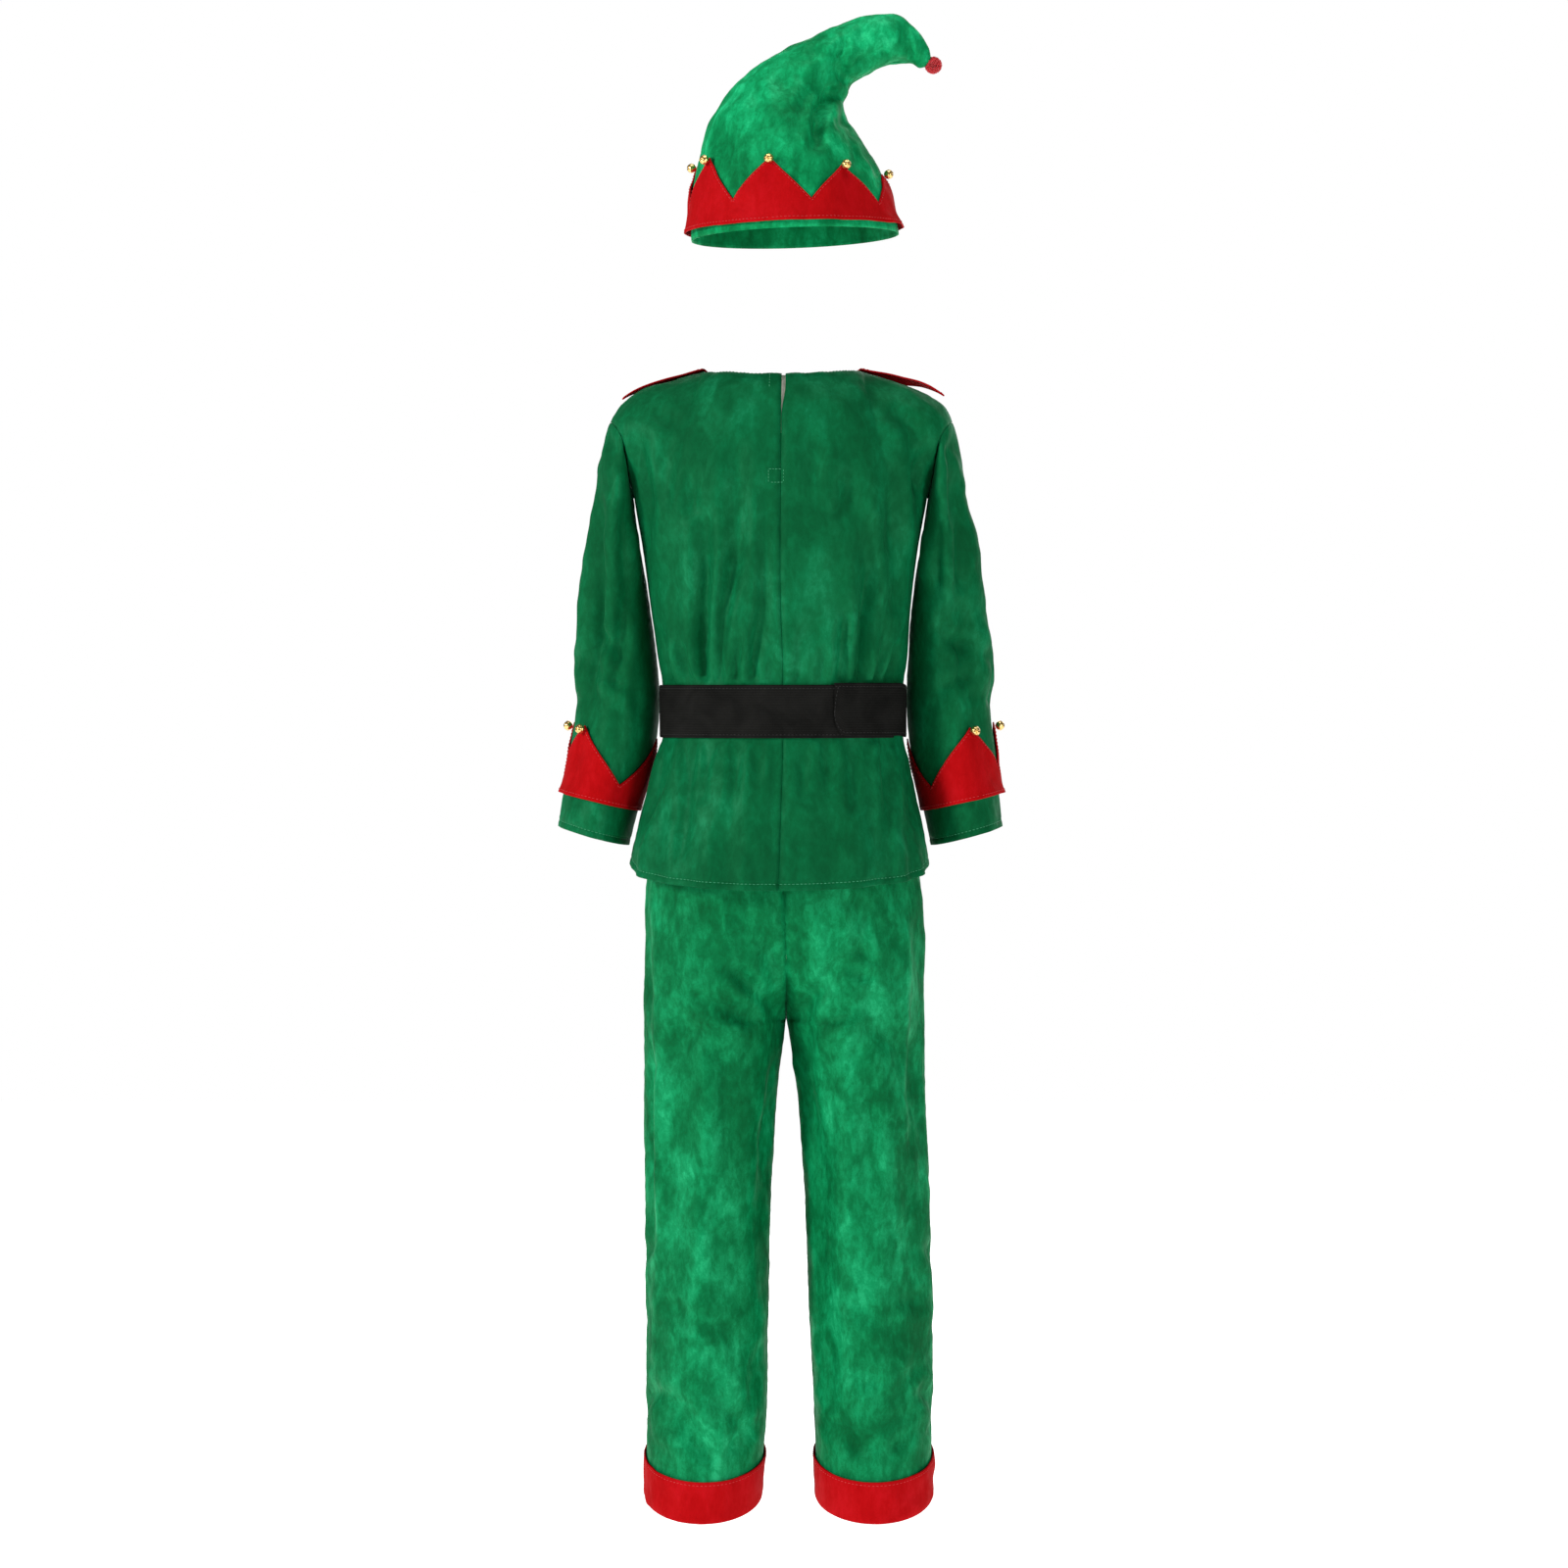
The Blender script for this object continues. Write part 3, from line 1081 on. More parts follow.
neck = slice(33, 98)
tunic_lines = [
    stitch_line(*line_beside(back_left, back_left_normals, NECK_STITCH, "top", slice(34, 66))),
    stitch_line(*line_beside(back_right, back_right_normals, NECK_STITCH, "top", slice(1, 33))),
    stitch_line(*line_beside(front, front_normals, NECK_STITCH, "top", neck)),
    stitch_line(*line_beside(back_left, back_left_normals, HEM_STITCH, "bottom")),
    stitch_line(*line_beside(back_right, back_right_normals, HEM_STITCH, "bottom")),
    stitch_line(*line_beside(front, front_normals, HEM_STITCH, "bottom")),
    stitch_line(*line_beside(back_left, back_left_normals, 11.0, "last", slice(150, 164)))]
SLIT_BOX = (-7.2, -95.5)
corners = box_outline(SLIT_BOX, 13.5, 12.0)
for (x0, z0), (x1, z1) in zip(corners, corners[1:]):
    places = [on_panel(back_left, back_left_normals, x0 + (x1 - x0) * t, z0 + (z1 - z0) * t)
              for t in np.linspace(0, 1, 7)]
    tunic_lines.append(stitch_line(np.array([p for p, _ in places]),
                                   np.array([n for _, n in places]), 2.2, 0.7))
stitches("tunic_stitching", tunic_lines, THREAD_GREEN)

# %% Cream tape in the slit
def tape_points():
    """A strip just inside the panels, under the slit below the neck."""
    share = np.linspace(-1 / 14, 0.03, 14)[:, None]
    level = np.linspace(1 + 4 / 12, 1 + 11.5 / 12, 40)[None]
    points = tunic(share, level, "back")
    return points - surface_normals(points) * (VELVET + 1.0)


tape = tape_points()
dress(sheet_object("closure_tape_strip", tape, 0.9, TAPE_CREAM), ["closure_tape"])

# %% [markdown]
# ## Sleeves
# A sleeve hangs straight down from the armhole and widens to its hem. It is one
# tube, with its seam at the inner side. The arm that fills it stands a little away
# from the body, so long soft troughs run down its back, and shorter oblique ones lie
# where the elbow bends. Under each sleeve's red cuff 40 mm of green show.

# %% Sleeves
LEFT_SLEEVE_CREASES = (
    (-168, -110, -178, -300, 7, 3.6, 0.0), (-144, -112, -136, -226, 7, 2.4, -0.03),
    (-170, -176, -178, -292, 6, 2.4, 0.02), (-146, -196, -160, -300, 6, 2.2, 0.05),
    (-178, -232, -142, -262, 7, 1.8, 0.06), (-172, -268, -136, -286, 6, 1.6, -0.05),
    (-152, -300, -150, -372, 6, 2.0, 0.0), (-186, -316, -192, -392, 7, 1.8, 0.0),
    (-134, -280, -128, -356, 5, 2.0, 0.0), (-164, -48, -148, -92, 8, 1.8, 0.06))
RIGHT_SLEEVE_CREASES = (
    (156, -62, 163, -200, 8, 3.8, -0.01), (140, -108, 134, -214, 6, 2.4, 0.03),
    (166, -176, 167, -306, 8, 3.6, 0.0), (148, -176, 146, -306, 9, 1.8, 0.04),
    (134, -226, 172, -252, 7, 1.8, -0.06), (140, -286, 178, -276, 6, 1.5, 0.05),
    (150, -310, 146, -376, 6, 2.0, 0.0), (188, -300, 196, -380, 7, 2.0, 0.0),
    (132, -300, 130, -362, 5, 1.8, 0.0), (160, -44, 148, -88, 8, 1.8, -0.06))
SLEEVE_SIDE_CREASES = (
    (-22, -90, -30, -210, 8, 2.0, 0.03), (18, -110, 26, -240, 8, 2.2, 0.0),
    (-36, -240, 20, -270, 8, 1.8, 0.05), (-30, -286, 30, -300, 7, 1.4, -0.04),
    (36, -280, 44, -380, 8, 2.2, 0.0), (-4, -310, 0, -392, 8, 1.8, 0.0))
SLEEVE_FULLNESS = {"left": 2.5, "right": 6.0}
SLEEVE_LENGTH = 385.0
CUFF_POINTS = 4
CUFF_BOTTOM = 0.905
CUFF_VALLEY = 22.0
CUFF_TIP = 74.0
CUFF_GAP = 1.1


def make_sleeve(name, side, back_creases, seed):
    turns = side * np.arange(108)[:, None] * 360 / 108
    up = np.concatenate((HEM_STEPS, np.linspace(12.5, SLEEVE_LENGTH, 124)))[None] / SLEEVE_LENGTH
    points = sleeve(turns, 1 - up, side)
    normals = surface_normals(points, ring=True)
    relief = creased(points, normals, "back", back_creases, SLEEVE_GAIN)
    flipped = tuple((h0 * 0.98, z0 - 14, h1, z1 - 8, w, d, -b)
                    for h0, z0, h1, z1, w, d, b in back_creases)
    relief += creased(points, normals, "front", flipped)
    relief += creased(points, normals, name, SLEEVE_SIDE_CREASES)
    relief += wander(points, 40, 0.8, seed) + wander(points, 17, 0.3, seed + 1)
    height = lengths(points, 1)
    top = height[:, -1:] - height
    inner = ease(-1.4 * cosine(turns))
    relief *= ease(top / 24) * (1 - 0.8 * inner)
    cuff_band = ease((up - 0.07) / 0.03) * ease((0.38 - up) / 0.06)
    relief *= 1 - 0.85 * cuff_band
    outer = ease(1.3 * cosine(turns)) * ease((-100 - points[..., 2]) / 70)
    relief += SLEEVE_FULLNESS[name] * outer * ease((points[..., 2] + 305) / 35)
    behind_armpit = np.exp(-((points[..., 1] + 25) / 11) ** 2) * inner
    relief += 4.2 * behind_armpit * ease((-128 - points[..., 2]) / 22) * ease((points[..., 2] + 205) / 30)
    along = lengths(points, 0)
    relief += seam_roll(top, along, 0.6, seed) + hem_relief(height, along, HEM_STITCH, seed)
    seam = np.abs(between(turns - 180, -180, 180)) / 360 * 320
    relief += seam_roll(seam + 0 * up, height, 0.5, seed) * ease(top / 20)
    points = points + normals * relief[..., None]
    piece = sheet_object("sleeve_" + name + "_cloth", points, 1.2, VELVET_GREEN, ring=True)
    dress(piece, ["sleeve_" + name])
    return points, surface_normals(points, ring=True)


sleeves = {"left": make_sleeve("left", -1, LEFT_SLEEVE_CREASES, 21),
           "right": make_sleeve("right", 1, RIGHT_SLEEVE_CREASES, 31)}

# %% [markdown]
# ## Jagged red cuffs and collar
# The cuffs and the hat's band are strips of red velvet cut into points, laid over the
# green and joined to it along their straight lower edge only, so that they stand off
# a little there and lie flat at the tips. Each strip is raised from its base surface
# along the normal, with rows that follow the zigzag. The collar is the same idea on
# the front of the tunic, and it reaches the shoulder seams, where it shows from behind.

# %% Jagged strips
def zigzag(position):
    """1 at every whole number and 0 half way between."""
    return np.abs((position % 1) * 2 - 1)


def raised(surface, u, v, height, step_u, step_v):
    """Points moved out from a surface by a height in mm along its normal."""
    across = surface(u + step_u, v) - surface(u - step_u, v)
    upward = surface(u, v + step_v) - surface(u, v - step_v)
    normal = np.cross(across, upward)
    normal /= np.linalg.norm(normal, axis=2)[..., None]
    return surface(u, v) + normal * height[..., None], normal


def cut_edge(points, ring):
    """A folded edge: a little thinner at the outline than inside it."""
    up = lengths(points, 1)
    top = up[:, -1:] - up
    return -0.45 * np.exp(-(np.minimum(up, top) / 1.3) ** 2) + 0.0 * ring


def strip_rows(bottom, top, count):
    """Rows between two edges, closer together near both."""
    share = (1 - np.cos(np.pi * np.arange(count + 1) / count)) / 2
    share = 0.45 * share + 0.55 * np.arange(count + 1) / count
    return bottom + (top - bottom) * share[None]


def make_cuff(name, side, tip_turn, seed):
    columns = CUFF_POINTS * 44
    turns = tip_turn + side * np.arange(columns)[:, None] * 360 / columns
    bottom = 1 - CUFF_BOTTOM
    point = zigzag((turns - tip_turn) / 360 * CUFF_POINTS)
    top = bottom + (CUFF_VALLEY + (CUFF_TIP - CUFF_VALLEY) * point) / SLEEVE_LENGTH
    up = strip_rows(bottom, top, 22)
    inside = ease(-1.2 * cosine(turns))
    low = np.maximum(1 - (up - bottom) * SLEEVE_LENGTH / CUFF_VALLEY, 0)
    height = CUFF_GAP + FELT + 2.6 * low ** 2 * (1 - inside)
    points, normals = raised(lambda u, v: sleeve(u, 1 - v, side), turns, up, height, side * 3.0, 0.01)
    along = lengths(points, 0)
    ripple = 0.8 * np.sin(along / 17 + seed) + 0.5 * np.sin(along / 7.3 + 2 * seed)
    relief = cut_edge(points, True) + wander(points, 24, 0.35, seed)
    relief += ripple * low ** 1.5 * (1 - inside) + 0.5 * np.exp(-(up - bottom) * SLEEVE_LENGTH / 6)
    relief *= 1 - 0.7 * inside
    points = points + normals * relief[..., None]
    piece = sheet_object("sleeve_cuff_" + name + "_cloth", points, 1.4, VELVET_RED, ring=True)
    dress(piece, ["sleeve_cuff_" + name])
    return points, surface_normals(points, ring=True)


cuffs = {"left": make_cuff("left", -1, 300, 41), "right": make_cuff("right", 1, 285, 47)}

# %% Collar
COLLAR_GAP = 1.5
COLLAR_INNER = 0.93
COLLAR_POINTS = 6
COLLAR_REACH = 0.92
COLLAR_DROP = 0.95
COLLAR_NOTCH = 0.34
COLLAR_LIFT = 5.5


def collar_base(turn, inwards):
    """A point of the front yoke under the collar."""
    outer_share, outer_rise = COLLAR_REACH * sine(turn), 1 - COLLAR_DROP * cosine(turn)
    share = outer_share + (NECK_SHARE * turn / 90 - outer_share) * inwards
    rise = outer_rise + (1.0 - outer_rise) * inwards
    return tunic(share, 1 + rise, "front")


def make_collar():
    turns = np.linspace(90, -90, 31 * 5)[:, None]
    notch = COLLAR_NOTCH * (1 - zigzag((turns + 90) / 180 * COLLAR_POINTS))
    inwards = strip_rows(notch, np.full_like(notch, COLLAR_INNER), 30)
    lift = COLLAR_LIFT * ease((turns - 55) / 35) * (1 - inwards)
    height = COLLAR_GAP + FELT + lift + 1.5 * (1 - inwards)
    points, normals = raised(collar_base, turns, inwards, height, -1.2, 0.02)
    relief = cut_edge(points, False) + wander(points, 26, 0.4, 53)
    points = points + normals * relief[..., None]
    piece = sheet_object("collar_cloth", points, 1.4, VELVET_RED)
    dress(piece, ["collar"])
    return points, surface_normals(points)


collar = make_collar()

# %% Stitching of sleeves, cuffs and collar
green_lines, red_lines = [], []
for name in ("left", "right"):
    line = line_beside(*sleeves[name], HEM_STITCH, "bottom")
    green_lines.append(stitch_line(*line, closed=True))
    for distance, edge in ((3.0, "bottom"), (2.6, "top")):
        line = line_beside(*cuffs[name], distance, edge)
        red_lines.append(stitch_line(*line, 2.6, 1.2, closed=True))
for edge in ("bottom", "top"):
    red_lines.append(stitch_line(*line_beside(*collar, 2.6, edge), 2.6, 1.2))
stitches("sleeve_stitching", green_lines, THREAD_GREEN)
stitches("red_stitching", red_lines, THREAD_RED, thread=0.26)

# %% [markdown]
# ## Belt
# The belt is one strip of elastic webbing, closed at the back by a hook-and-loop
# patch that doesn't show. Its free end laps over the other end and has rounded
# corners. It stays flat and smooth, because the webbing is much stiffer than the
# velvet under it, and a narrow woven edge runs along both sides.

# %% Belt
def belt_strip(angle, up):
    """A point of the belt's outer side; the free end lies on top of the other end."""
    under_end = BELT_END_ANGLE + BELT_UNDERLAP
    on_top = 1 - ease((angle - under_end - 2) / 22)
    out = LAY_GAP + WEBBING + (WEBBING + BELT_LAYER_GAP) * on_top
    z = BELT_TOP + BELT_HEIGHT * (up - 1) + BELT_STEP * on_top
    ring = body_ring(angle, np.full_like(angle, BELT_TOP - BELT_HEIGHT / 2), out)
    ring[..., 2] = z
    return ring


def make_belt():
    corner = BELT_END_ANGLE + BELT_CORNER * np.array((0, 0.04, 0.12, 0.25, 0.42, 0.62, 0.82))
    body = np.linspace(BELT_END_ANGLE + BELT_CORNER, BELT_END_ANGLE + BELT_UNDERLAP + 360, 300)
    angle = np.concatenate((corner, body))[:, None]
    near = np.maximum(1 - (angle - BELT_END_ANGLE) / BELT_CORNER, 0)
    bottom = 0.42 * (1 - np.sqrt(1 - near ** 2))
    share = np.concatenate(([0, 0.012, 0.03, 0.05], np.linspace(0.08, 0.92, 19),
                            [0.95, 0.97, 0.988, 1]))[None]
    angle, up = np.broadcast_arrays(angle, bottom + (1 - bottom) * share)
    points = belt_strip(angle, up)
    normals = surface_normals(points)
    first, last, low, high = edge_distances(points)
    edge = np.minimum(np.minimum(low, high), first)
    relief = -0.5 * np.exp(-(edge / 0.9) ** 2) - 0.16 * np.exp(-((edge - 3.2) / 0.7) ** 2)
    relief += wander(points, 60, 0.25, 61)
    under = np.exp(-((first - 83) / 2.5) ** 2)
    relief += 0.25 * under
    points = points + normals * relief[..., None]
    piece = sheet_object("belt_webbing", points, 1.8, WEBBING_BLACK)
    dress(piece, ["belt"])
    normals = surface_normals(points)
    lines = [stitch_line(*line_beside(points, normals, 3.2, edge_name), 2.2, 1.3)
             for edge_name in ("bottom", "top")]
    lines.append(stitch_line(*line_beside(points, normals, 4.0, "first", slice(3, 24)), 2.2, 1.3))
    stitches("belt_stitching", lines, THREAD_BLACK, thread=0.24)


make_belt()

# %% [markdown]
# ## Trousers
# The trousers are four straight panels: two backs and two fronts, joined at the
# outseams, the inseams and one long seat seam. From behind, oblique creases fan out
# from the crotch, long soft ones run down each leg, and V-shaped breaks lie above the
# hems, where the cloth rests on the instep. The front gets similar ones of its own.

# %% Creases of the trousers
SEAT_CREASES = (
    (-27, -486, -3, -610, 10, 4.2, 0.06), (13, -486, 19, -640, 8, 3.6, 0.0),
    (-58, -530, -4, -590, 7, 2.8, 0.06), (58, -528, 14, -588, 7, 2.8, -0.06),
    (-92, -560, -8, -600, 8, 2.2, 0.05), (96, -566, 18, -600, 8, 2.2, -0.05),
    (-8, -606, -18, -740, 6, 2.8, 0.02), (16, -604, 32, -730, 6, 2.8, -0.02),
    (-14, -640, -20, -850, 7, 2.0, -0.01), (26, -650, 30, -860, 7, 2.0, 0.01),
    (62, -520, 84, -536, 5, 1.8, 0.05), (58, -536, 82, -550, 5, 1.6, -0.04),
    (-123, -486, -124, -900, 5, 3.0, 0.0), (121, -486, 118, -720, 5, 3.0, 0.0),
    (-42, -462, -36, -560, 9, 1.8, 0.03), (74, -470, 66, -540, 9, 1.8, 0.02))
BACK_LEG_CREASES = (
    (-90, -560, -94, -880, 12, 2.4, 0.01), (-50, -600, -46, -900, 11, 2.0, -0.01),
    (-70, -700, -66, -940, 9, 1.8, 0.02), (-104, -640, -100, -790, 8, 1.8, -0.02),
    (-99, -952, -58, -1003, 9, 3.4, 0.06), (-27, -950, -54, -1005, 8, 3.0, -0.06),
    (-112, -922, -78, -960, 8, 2.4, 0.05), (-24, -880, -30, -950, 7, 2.2, 0.0),
    (-80, -850, -40, -884, 9, 1.8, 0.06), (-108, -840, -72, -870, 9, 1.6, -0.05),
    (-62, -930, -34, -962, 8, 2.0, 0.05), (-118, -975, -96, -1008, 7, 2.2, 0.04),
    (74, -590, 80, -900, 12, 2.4, 0.01), (112, -560, 114, -860, 11, 2.0, 0.01),
    (44, -650, 40, -900, 9, 2.0, -0.02), (96, -720, 98, -920, 9, 1.8, 0.01),
    (42, -950, 82, -1004, 9, 3.4, 0.05), (118, -956, 88, -1006, 8, 3.0, -0.05),
    (38, -870, 44, -946, 7, 2.4, 0.0), (60, -900, 96, -930, 9, 2.2, 0.06),
    (126, -900, 98, -940, 8, 2.2, -0.05), (50, -836, 88, -862, 9, 1.6, 0.05),
    (104, -830, 128, -856, 8, 1.6, -0.04), (66, -968, 100, -984, 8, 1.8, 0.04))
FRONT_LEG_CREASES = (
    (-26, -470, -4, -560, 8, 3.0, 0.04), (30, -476, 6, -562, 8, 3.0, -0.05),
    (-62, -524, -8, -584, 8, 2.6, 0.05), (66, -520, 14, -586, 8, 2.6, -0.05),
    (-100, -548, -12, -600, 9, 2.0, 0.04), (104, -552, 22, -602, 9, 2.0, -0.04),
    (-84, -600, -88, -860, 12, 2.4, 0.01), (-44, -620, -42, -880, 10, 2.2, 0.0),
    (88, -600, 92, -880, 12, 2.4, -0.01), (48, -630, 46, -870, 10, 2.2, 0.01),
    (-112, -780, -52, -806, 9, 2.0, 0.06), (-26, -770, -70, -800, 8, 1.8, 0.05),
    (118, -790, 60, -812, 9, 2.0, -0.06), (34, -776, 74, -806, 8, 1.8, -0.05),
    (-108, -918, -60, -966, 9, 3.4, 0.06), (-26, -926, -62, -972, 8, 3.0, -0.06),
    (44, -924, 84, -970, 9, 3.2, 0.05), (124, -922, 88, -972, 8, 3.2, -0.05),
    (-100, -880, -50, -900, 8, 1.8, 0.05), (110, -876, 62, -898, 8, 1.8, -0.05))
SIDE_LEG_CREASES = (
    (-30, -500, -34, -760, 10, 2.2, 0.02), (28, -520, 30, -800, 10, 2.2, -0.01),
    (-6, -560, -4, -700, 8, 1.6, 0.0), (-40, -790, 26, -830, 9, 2.0, 0.05),
    (34, -840, -20, -880, 9, 1.8, 0.05), (-44, -922, 10, -966, 9, 3.2, 0.05),
    (46, -918, 6, -962, 9, 3.0, -0.05), (-30, -962, 34, -984, 8, 2.2, 0.04))
SEAT_SEAM_DEPTH = 5.0

# %% Trouser panels
def seat_levels(share):
    """Rows between crotch and hips: level rows at the side, close ones round the crotch seam."""
    climb = np.arange(1, 53) / 52
    at_side = np.degrees(np.arccos(1 - climb)) / 90
    side_like = ease(share / 0.22)[:, None]
    return 1.0 + 0.5 * (climb ** 1.15 * (1 - side_like) + at_side * side_like)


def trouser_levels(share, side, face):
    turn = (1 if face == "front" else -1) * 180 * (1 - share)
    length = CROTCH_Z - leg_hem(turn)
    leg = hem_to_top(length[:, None], 138) / length[:, None]
    waist = np.linspace(1.5, 2.0, 46)[1:]
    above = np.broadcast_to(waist, (len(share), len(waist)))
    return np.concatenate((leg, seat_levels(share), above), axis=1)


def trouser_panel(side, face, seed):
    rising = (side == "right") == (face == "back")
    share = np.linspace(0, 1, 54) if rising else np.linspace(1, 0, 54)
    level = trouser_levels(share, side, face)
    points = trousers(share[:, None], level, side, face)
    x, y = (0.1 if side == "right" else -0.1), (1 if face == "front" else -1)
    points = points + np.array((x, y, 0)) * SEAM_GAP / 2
    normals = surface_normals(points)
    first, last, up, down = edge_distances(points)
    near_seam = np.exp(-((first if rising else last) / 14) ** 2) * ease((points[..., 2] - CROTCH_Z + 12) / 12)
    normals[..., 0] *= 1 - near_seam
    relief = creased(points, normals, "back", SEAT_CREASES + BACK_LEG_CREASES)
    relief += creased(points, normals, "front", FRONT_LEG_CREASES)
    relief += creased(points, normals, side, SIDE_LEG_CREASES)
    relief += wander(points, 52, 0.9, seed) + wander(points, 20, 0.32, seed + 1)
    z = points[..., 2]
    relief *= ease((BELT_BOTTOM - 60 - z) / 60)
    hidden = ease((z + 450) / 30)
    relief *= ease(0.12 + np.minimum(first, last) / 20)
    middle, outer = (first, last) if rising else (last, first)
    seat = SEAT_SEAM_DEPTH * ease((z - CROTCH_Z + 10) / 30)
    relief += seam_roll(middle, up, 0.7, seed) - seat * np.exp(-(middle / 11) ** 2)
    relief += seam_roll(outer, up, 0.9, seed + 2)
    relief += hem_relief(up, first, HEM_STITCH, seed)
    relief *= ease(0.3 + down / 14) * (1 - hidden) * (0.12 + 0.88 * ease((up - 42) / 25))
    points = points + normals * relief[..., None]
    piece = sheet_object(f"trouser_{face}_{side}_cloth", points, 1.2, VELVET_TROUSERS)
    dress(piece, [f"trouser_{face}_{side}"])


for number, side in enumerate(("left", "right")):
    trouser_panel(side, "back", 71 + 4 * number)
    trouser_panel(side, "front", 81 + 4 * number)

# %% Red bands round the trouser hems
def make_leg_cuff(side, seed):
    sign = 1 if side == "right" else -1
    turns = sign * np.arange(120)[:, None] * 360 / 120
    up = strip_rows(np.zeros_like(turns), np.ones_like(turns), 20)
    height = np.full_like(up, LAY_GAP + FELT + SEAM_GAP / 2)

    def leg(turn, share):
        turn, share = np.broadcast_arrays(turn, share)
        return leg_point(turn, leg_hem(turn) - 3 + share * LEG_CUFF_HEIGHT, side)

    points, normals = raised(leg, turns, up, height, sign * 4.0, 0.05)
    along, rise = lengths(points, 0), lengths(points, 1)
    top = rise[:, -1:] - rise
    relief = cut_edge(points, True) + wander(points, 22, 0.6, seed)
    relief += 0.5 * np.sin(along / 8.5 + seed) * np.sin(along / 23 + 2 * seed) * ease(rise / 10)
    relief += -0.5 * np.exp(-((top - 3.0) / 0.9) ** 2) + 0.6 * np.exp(-((rise - 4) / 5) ** 2)
    relief = np.maximum(relief, -0.2)
    relief *= 0.4 + 0.6 * ease(1 + cosine(turns) * 2)
    points = points + normals * relief[..., None]
    piece = sheet_object("trouser_cuff_" + side + "_cloth", points, 1.4, VELVET_RED, ring=True)
    dress(piece, ["trouser_cuff_" + side])
    normals = surface_normals(points, ring=True)
    return [stitch_line(*line_beside(points, normals, 3.0, "top"), 2.6, 1.2, closed=True)]


stitches("trouser_cuff_stitching", make_leg_cuff("left", 91) + make_leg_cuff("right", 95),
         THREAD_RED, thread=0.26)

# %% [markdown]
# ## Hat
# The hat is a cone of the same velvet, cut in two halves, whose long tip has been
# bent over to the right. Where it bends, deep folds cross the cloth, and pinches run
# down into the crown from there. Its shape is a row of slices along the bend, and
# every slice is an ellipse. The creases are listed as seen from behind, with the
# front's own list beside them.

# %% Hat crown
HAT_BACK_CREASES = (
    (58, 306, 45, 287, 5, 3.4, 0.05), (46, 292, 62, 262, 6, 2.6, -0.05),
    (45, 283, 12, 230, 8, 1.8, 0.03), (50, 262, 30, 232, 5, 4.0, -0.08),
    (38, 252, 30, 212, 5, 4.2, -0.05), (33, 238, 28, 196, 6, 3.2, 0.03),
    (60, 244, 44, 214, 6, 2.2, 0.06), (72, 232, 56, 206, 6, 1.6, -0.04),
    (110, 320, 107, 298, 4, 2.0, 0.05), (114, 306, 118, 290, 3.5, 1.8, 0.0),
    (86, 298, 96, 290, 3, 1.4, 0.05), (60, 276, 84, 292, 5, 1.8, 0.08),
    (-20, 270, -34, 214, 8, 1.6, 0.03), (4, 280, -8, 238, 8, 1.3, -0.03),
    (-52, 226, -60, 176, 8, 1.5, 0.02), (30, 300, 22, 282, 5, 1.6, 0.05),
    (74, 320, 66, 296, 5, 1.8, 0.05), (66, 212, 70, 180, 7, 1.6, 0.03))
HAT_FRONT_CREASES = (
    (62, 308, 50, 282, 5, 3.2, -0.05), (48, 284, 34, 244, 6, 3.6, 0.06),
    (44, 250, 24, 212, 7, 2.6, -0.04), (64, 246, 50, 206, 6, 2.4, 0.05),
    (20, 286, 0, 240, 8, 1.8, 0.03), (-14, 262, -30, 206, 8, 1.7, -0.03),
    (112, 318, 108, 298, 4, 1.8, -0.05), (84, 318, 78, 292, 5, 1.8, 0.05),
    (-48, 230, -58, 182, 8, 1.5, 0.03), (8, 220, 6, 180, 8, 1.4, 0.02))


def hat_half(name, start, end, shift, seed):
    turns = np.linspace(start, end, 96)[:, None]
    rows = np.concatenate((np.linspace(0, 4, 50), np.linspace(4, 13, 92)[1:]))[None]
    points = crown(turns, rows) + np.array((0, shift, 0)) * SEAM_GAP / 2
    normals = surface_normals(points)
    first, last, up, down = edge_distances(points)
    relief = creased(points, normals, "back", HAT_BACK_CREASES)
    relief += creased(points, normals, "front", HAT_FRONT_CREASES)
    relief += wander(points, 34, 0.7, seed) + wander(points, 15, 0.25, seed + 1)
    relief *= ease(0.35 + np.minimum(first, last) / 12)
    slim = ease((13 - rows) / 3)
    under_band = ease((2.1 - rows) / 0.5)
    relief *= (0.35 + 0.65 * slim) * (1 - 0.75 * under_band)
    relief += (seam_roll(first, up, 0.7, seed) + seam_roll(last, up, 0.7, seed + 2)) * slim
    relief += -0.5 * np.exp(-(up / 2.0) ** 2)
    points = points + normals * relief[..., None]
    piece = sheet_object(name + "_cloth", points, 1.1, VELVET_HAT)
    dress(piece, [name])


hat_half("hat_back", 180, 360, -1, 101)
hat_half("hat_front", 0, 180, 1, 107)

# %% Jagged band of the hat
BAND_POINTS = 8
BAND_BOTTOM = 0.17
BAND_VALLEY = 0.72
BAND_TIP = 1.95
BAND_TIP_ANGLE = 258.0
BAND_GAP = 1.2
BAND_FLARE = 3.2


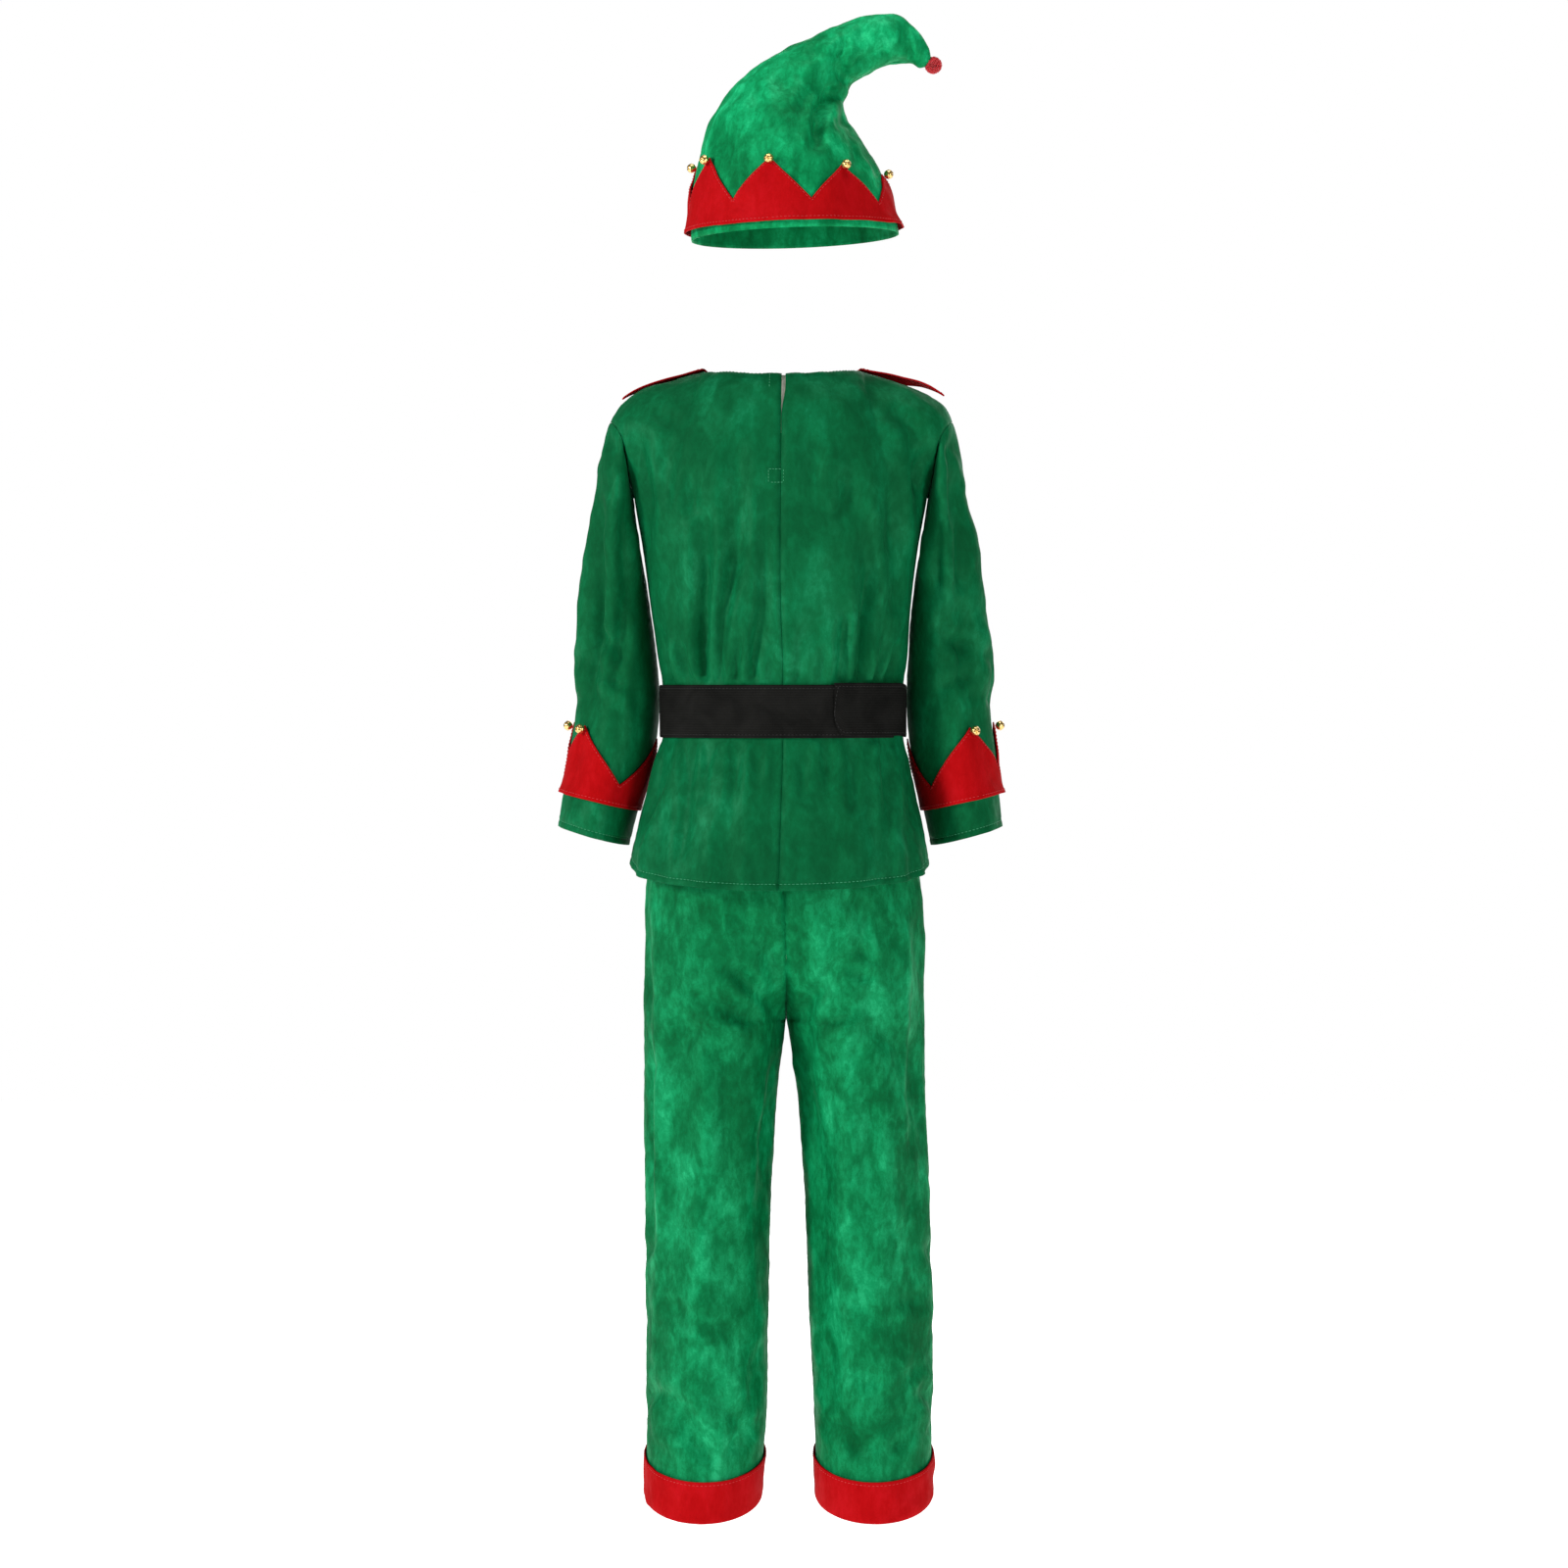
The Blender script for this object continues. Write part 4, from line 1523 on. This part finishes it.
def make_band():
    columns = BAND_POINTS * 30
    turns = BAND_TIP_ANGLE + np.arange(columns)[:, None] * 360 / columns
    point = zigzag((turns - BAND_TIP_ANGLE) / 360 * BAND_POINTS)
    rows = strip_rows(np.full_like(turns, BAND_BOTTOM),
                      BAND_VALLEY + (BAND_TIP - BAND_VALLEY) * point, 24)
    low = np.maximum(1 - (rows - BAND_BOTTOM) / (BAND_VALLEY - BAND_BOTTOM), 0)
    points, normals = raised(crown, turns, rows, BAND_GAP + FELT + BAND_FLARE * low ** 2, 2.0, 0.05)
    along, up = lengths(points, 0), lengths(points, 1)
    relief = cut_edge(points, True) + wander(points, 28, 0.6, 113)
    relief += (0.9 * np.sin(along / 21 + 1) + 0.5 * np.sin(along / 9.7)) * low ** 1.2
    relief += creased(points, normals, "back", ((99, 138, 84, 134, 3, 1.8, 0.05),
                                                (-60, 150, -30, 146, 5, 1.2, 0.06)))
    relief = np.maximum(relief, -0.9)
    points = points + normals * relief[..., None]
    piece = sheet_object("hat_band_cloth", points, 1.4, VELVET_RED, ring=True)
    dress(piece, ["hat_band"])
    normals = surface_normals(points, ring=True)
    stitches("hat_band_stitching",
             [stitch_line(*line_beside(points, normals, 2.8, "bottom"), 2.6, 1.2, closed=True),
              stitch_line(*line_beside(points, normals, 2.6, "top"), 2.6, 1.2, closed=True)],
             THREAD_RED, thread=0.26)


make_band()

# %% [markdown]
# ## Jingle bells
# Each point of the red strips carries a small round bell of gilded sheet metal. Two
# half shells are crimped together in a band round the middle, the outer one has a
# crossed slot with round ends, and a wire loop on the inner one is sewn to the cloth.
# The bell is turned from a profile, and the slot is a darker channel pressed into it.

# %% One bell, placed many times
BELL_RADIUS = 4.6


def bell_mesh():
    """A bell whose slot looks along +Z and whose crimped band lies in the XY plane."""
    around, up = 40, 31
    theta = np.linspace(0.02, math.pi - 0.02, up)[:, None]
    phi = np.arange(around)[None] * 2 * math.pi / around
    band = 0.34 * np.exp(-((theta - math.pi / 2) / 0.075) ** 2)
    x, y = np.sin(theta) * np.cos(phi), np.sin(theta) * np.sin(phi)
    slot_arm = np.minimum(np.abs(x), np.abs(y))
    within = (np.cos(theta) > 0) & (np.hypot(x, y) < 0.80)
    slot = np.where(within, np.exp(-(slot_arm / 0.085) ** 4), 0) * 1.05
    radius = BELL_RADIUS - 0.34 + band - slot
    points = place(radius * x, radius * y, (BELL_RADIUS - 0.2 - slot) * np.cos(theta))
    index = np.arange(around * up).reshape(up, around)
    right = np.roll(index, -1, axis=1)
    quads = np.stack((index[1:], right[1:], right[:-1], index[:-1]), axis=-1).reshape(-1, 4)
    faces = quads.tolist() + [index[0].tolist(), index[-1][::-1].tolist()]
    mesh = bpy.data.meshes.new("bell")
    mesh.from_pydata(points.reshape(-1, 3) * MM, [], faces)
    mesh.shade_smooth()
    mesh.materials.append(BELL_GOLD)
    return mesh


BELL = bell_mesh()


def place_bells():
    """A bell in the place of each bell's solid, its slot turned away from the cloth."""
    centres = {name: (Vector(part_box(name)[0]) + Vector(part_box(name)[1])) / 2
               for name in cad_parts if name.startswith("bell_")}
    for name, centre in sorted(centres.items()):
        inside = Vector((0.01, 0.01, centre.z)) if "hat" in name else Vector(
            (-0.165 if "left" in name else 0.165, 0.01, centre.z))
        out = (centre - inside).normalized()
        bell = bpy.data.objects.new(name + "_shell", BELL)
        turn = out.to_track_quat("Z", "Y").to_matrix().to_4x4()
        turn.translation = centre
        bell.matrix_world = turn
        bpy.context.scene.collection.objects.link(bell)
        dress(bell, [name])
    print(len(centres), "bells")


place_bells()

# %% [markdown]
# ## Pompom
# A small red pompom is sewn to the tip. It is a tight ball of cut yarn, so its
# surface is made of some hundred short blunt locks that all point away from the
# middle, a few of them a little longer than the rest.

# %% Pompom of short locks
POMPOM_RADIUS = 8.5


def make_pompom():
    low, high = (Vector(corner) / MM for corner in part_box("pompom"))
    centre = np.array((low + high) / 2)
    source = np.random.default_rng(17)
    count = 640
    number = np.arange(count) + 0.5
    polar = np.arccos(1 - 2 * number / count)
    turn = math.pi * (1 + 5 ** 0.5) * number
    way = place(np.sin(polar) * np.cos(turn), np.sin(polar) * np.sin(turn), np.cos(polar))
    way += source.normal(scale=0.10, size=way.shape)
    way /= np.linalg.norm(way, axis=1)[:, None]
    side = np.cross(way, source.normal(size=way.shape))
    side /= np.linalg.norm(side, axis=1)[:, None]
    other = np.cross(way, side)
    reach = POMPOM_RADIUS - 0.3 - 0.8 * source.random(count) ** 2
    rings, corners = [], 5
    for share, radius in ((0.35, 0.40), (0.75, 0.55), (0.93, 0.50), (1.0, 0.22)):
        bend = side * (0.5 * share * source.uniform(-1, 1, count))[:, None]
        middle = centre + way * (reach * share)[:, None] + bend
        for k in range(corners):
            angle = 2 * math.pi * k / corners
            rings.append(middle + radius * (side * math.cos(angle) + other * math.sin(angle)))
    vertices = np.stack(rings, axis=1).reshape(-1, 3) * MM
    faces = [[r * corners + k, r * corners + (k + 1) % corners,
              (r + 1) * corners + (k + 1) % corners, (r + 1) * corners + k]
             for r in range(3) for k in range(corners)]
    quads = (np.array(faces)[None] + 4 * corners * np.arange(count)[:, None, None]).reshape(-1, 4)
    caps = (np.array([15, 16, 17, 18, 19])[None] + 20 * np.arange(count)[:, None])
    mesh = bpy.data.meshes.new("pompom")
    mesh.from_pydata(vertices, [], quads.tolist() + caps.tolist())
    mesh.shade_smooth()
    mesh.materials.append(YARN_RED)
    pompom = bpy.data.objects.new("pompom_yarn", mesh)
    bpy.context.scene.collection.objects.link(pompom)
    dress(pompom, ["pompom"])
    print("pompom:", count, "locks")


make_pompom()

# %% [markdown]
# ## Hand-in
# The costume is finished. The box of the dressed model is set against the box of the
# solids, because the cloth may stand proud of them by a few millimetres only.

# %% Measure and finish
dressed_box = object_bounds()
grown = [[round((d - s) * 1000, 1) for d, s in zip(*pair)] for pair in zip(dressed_box, solid_box)]
print("dressed box minus the solids' box in mm:", grown)
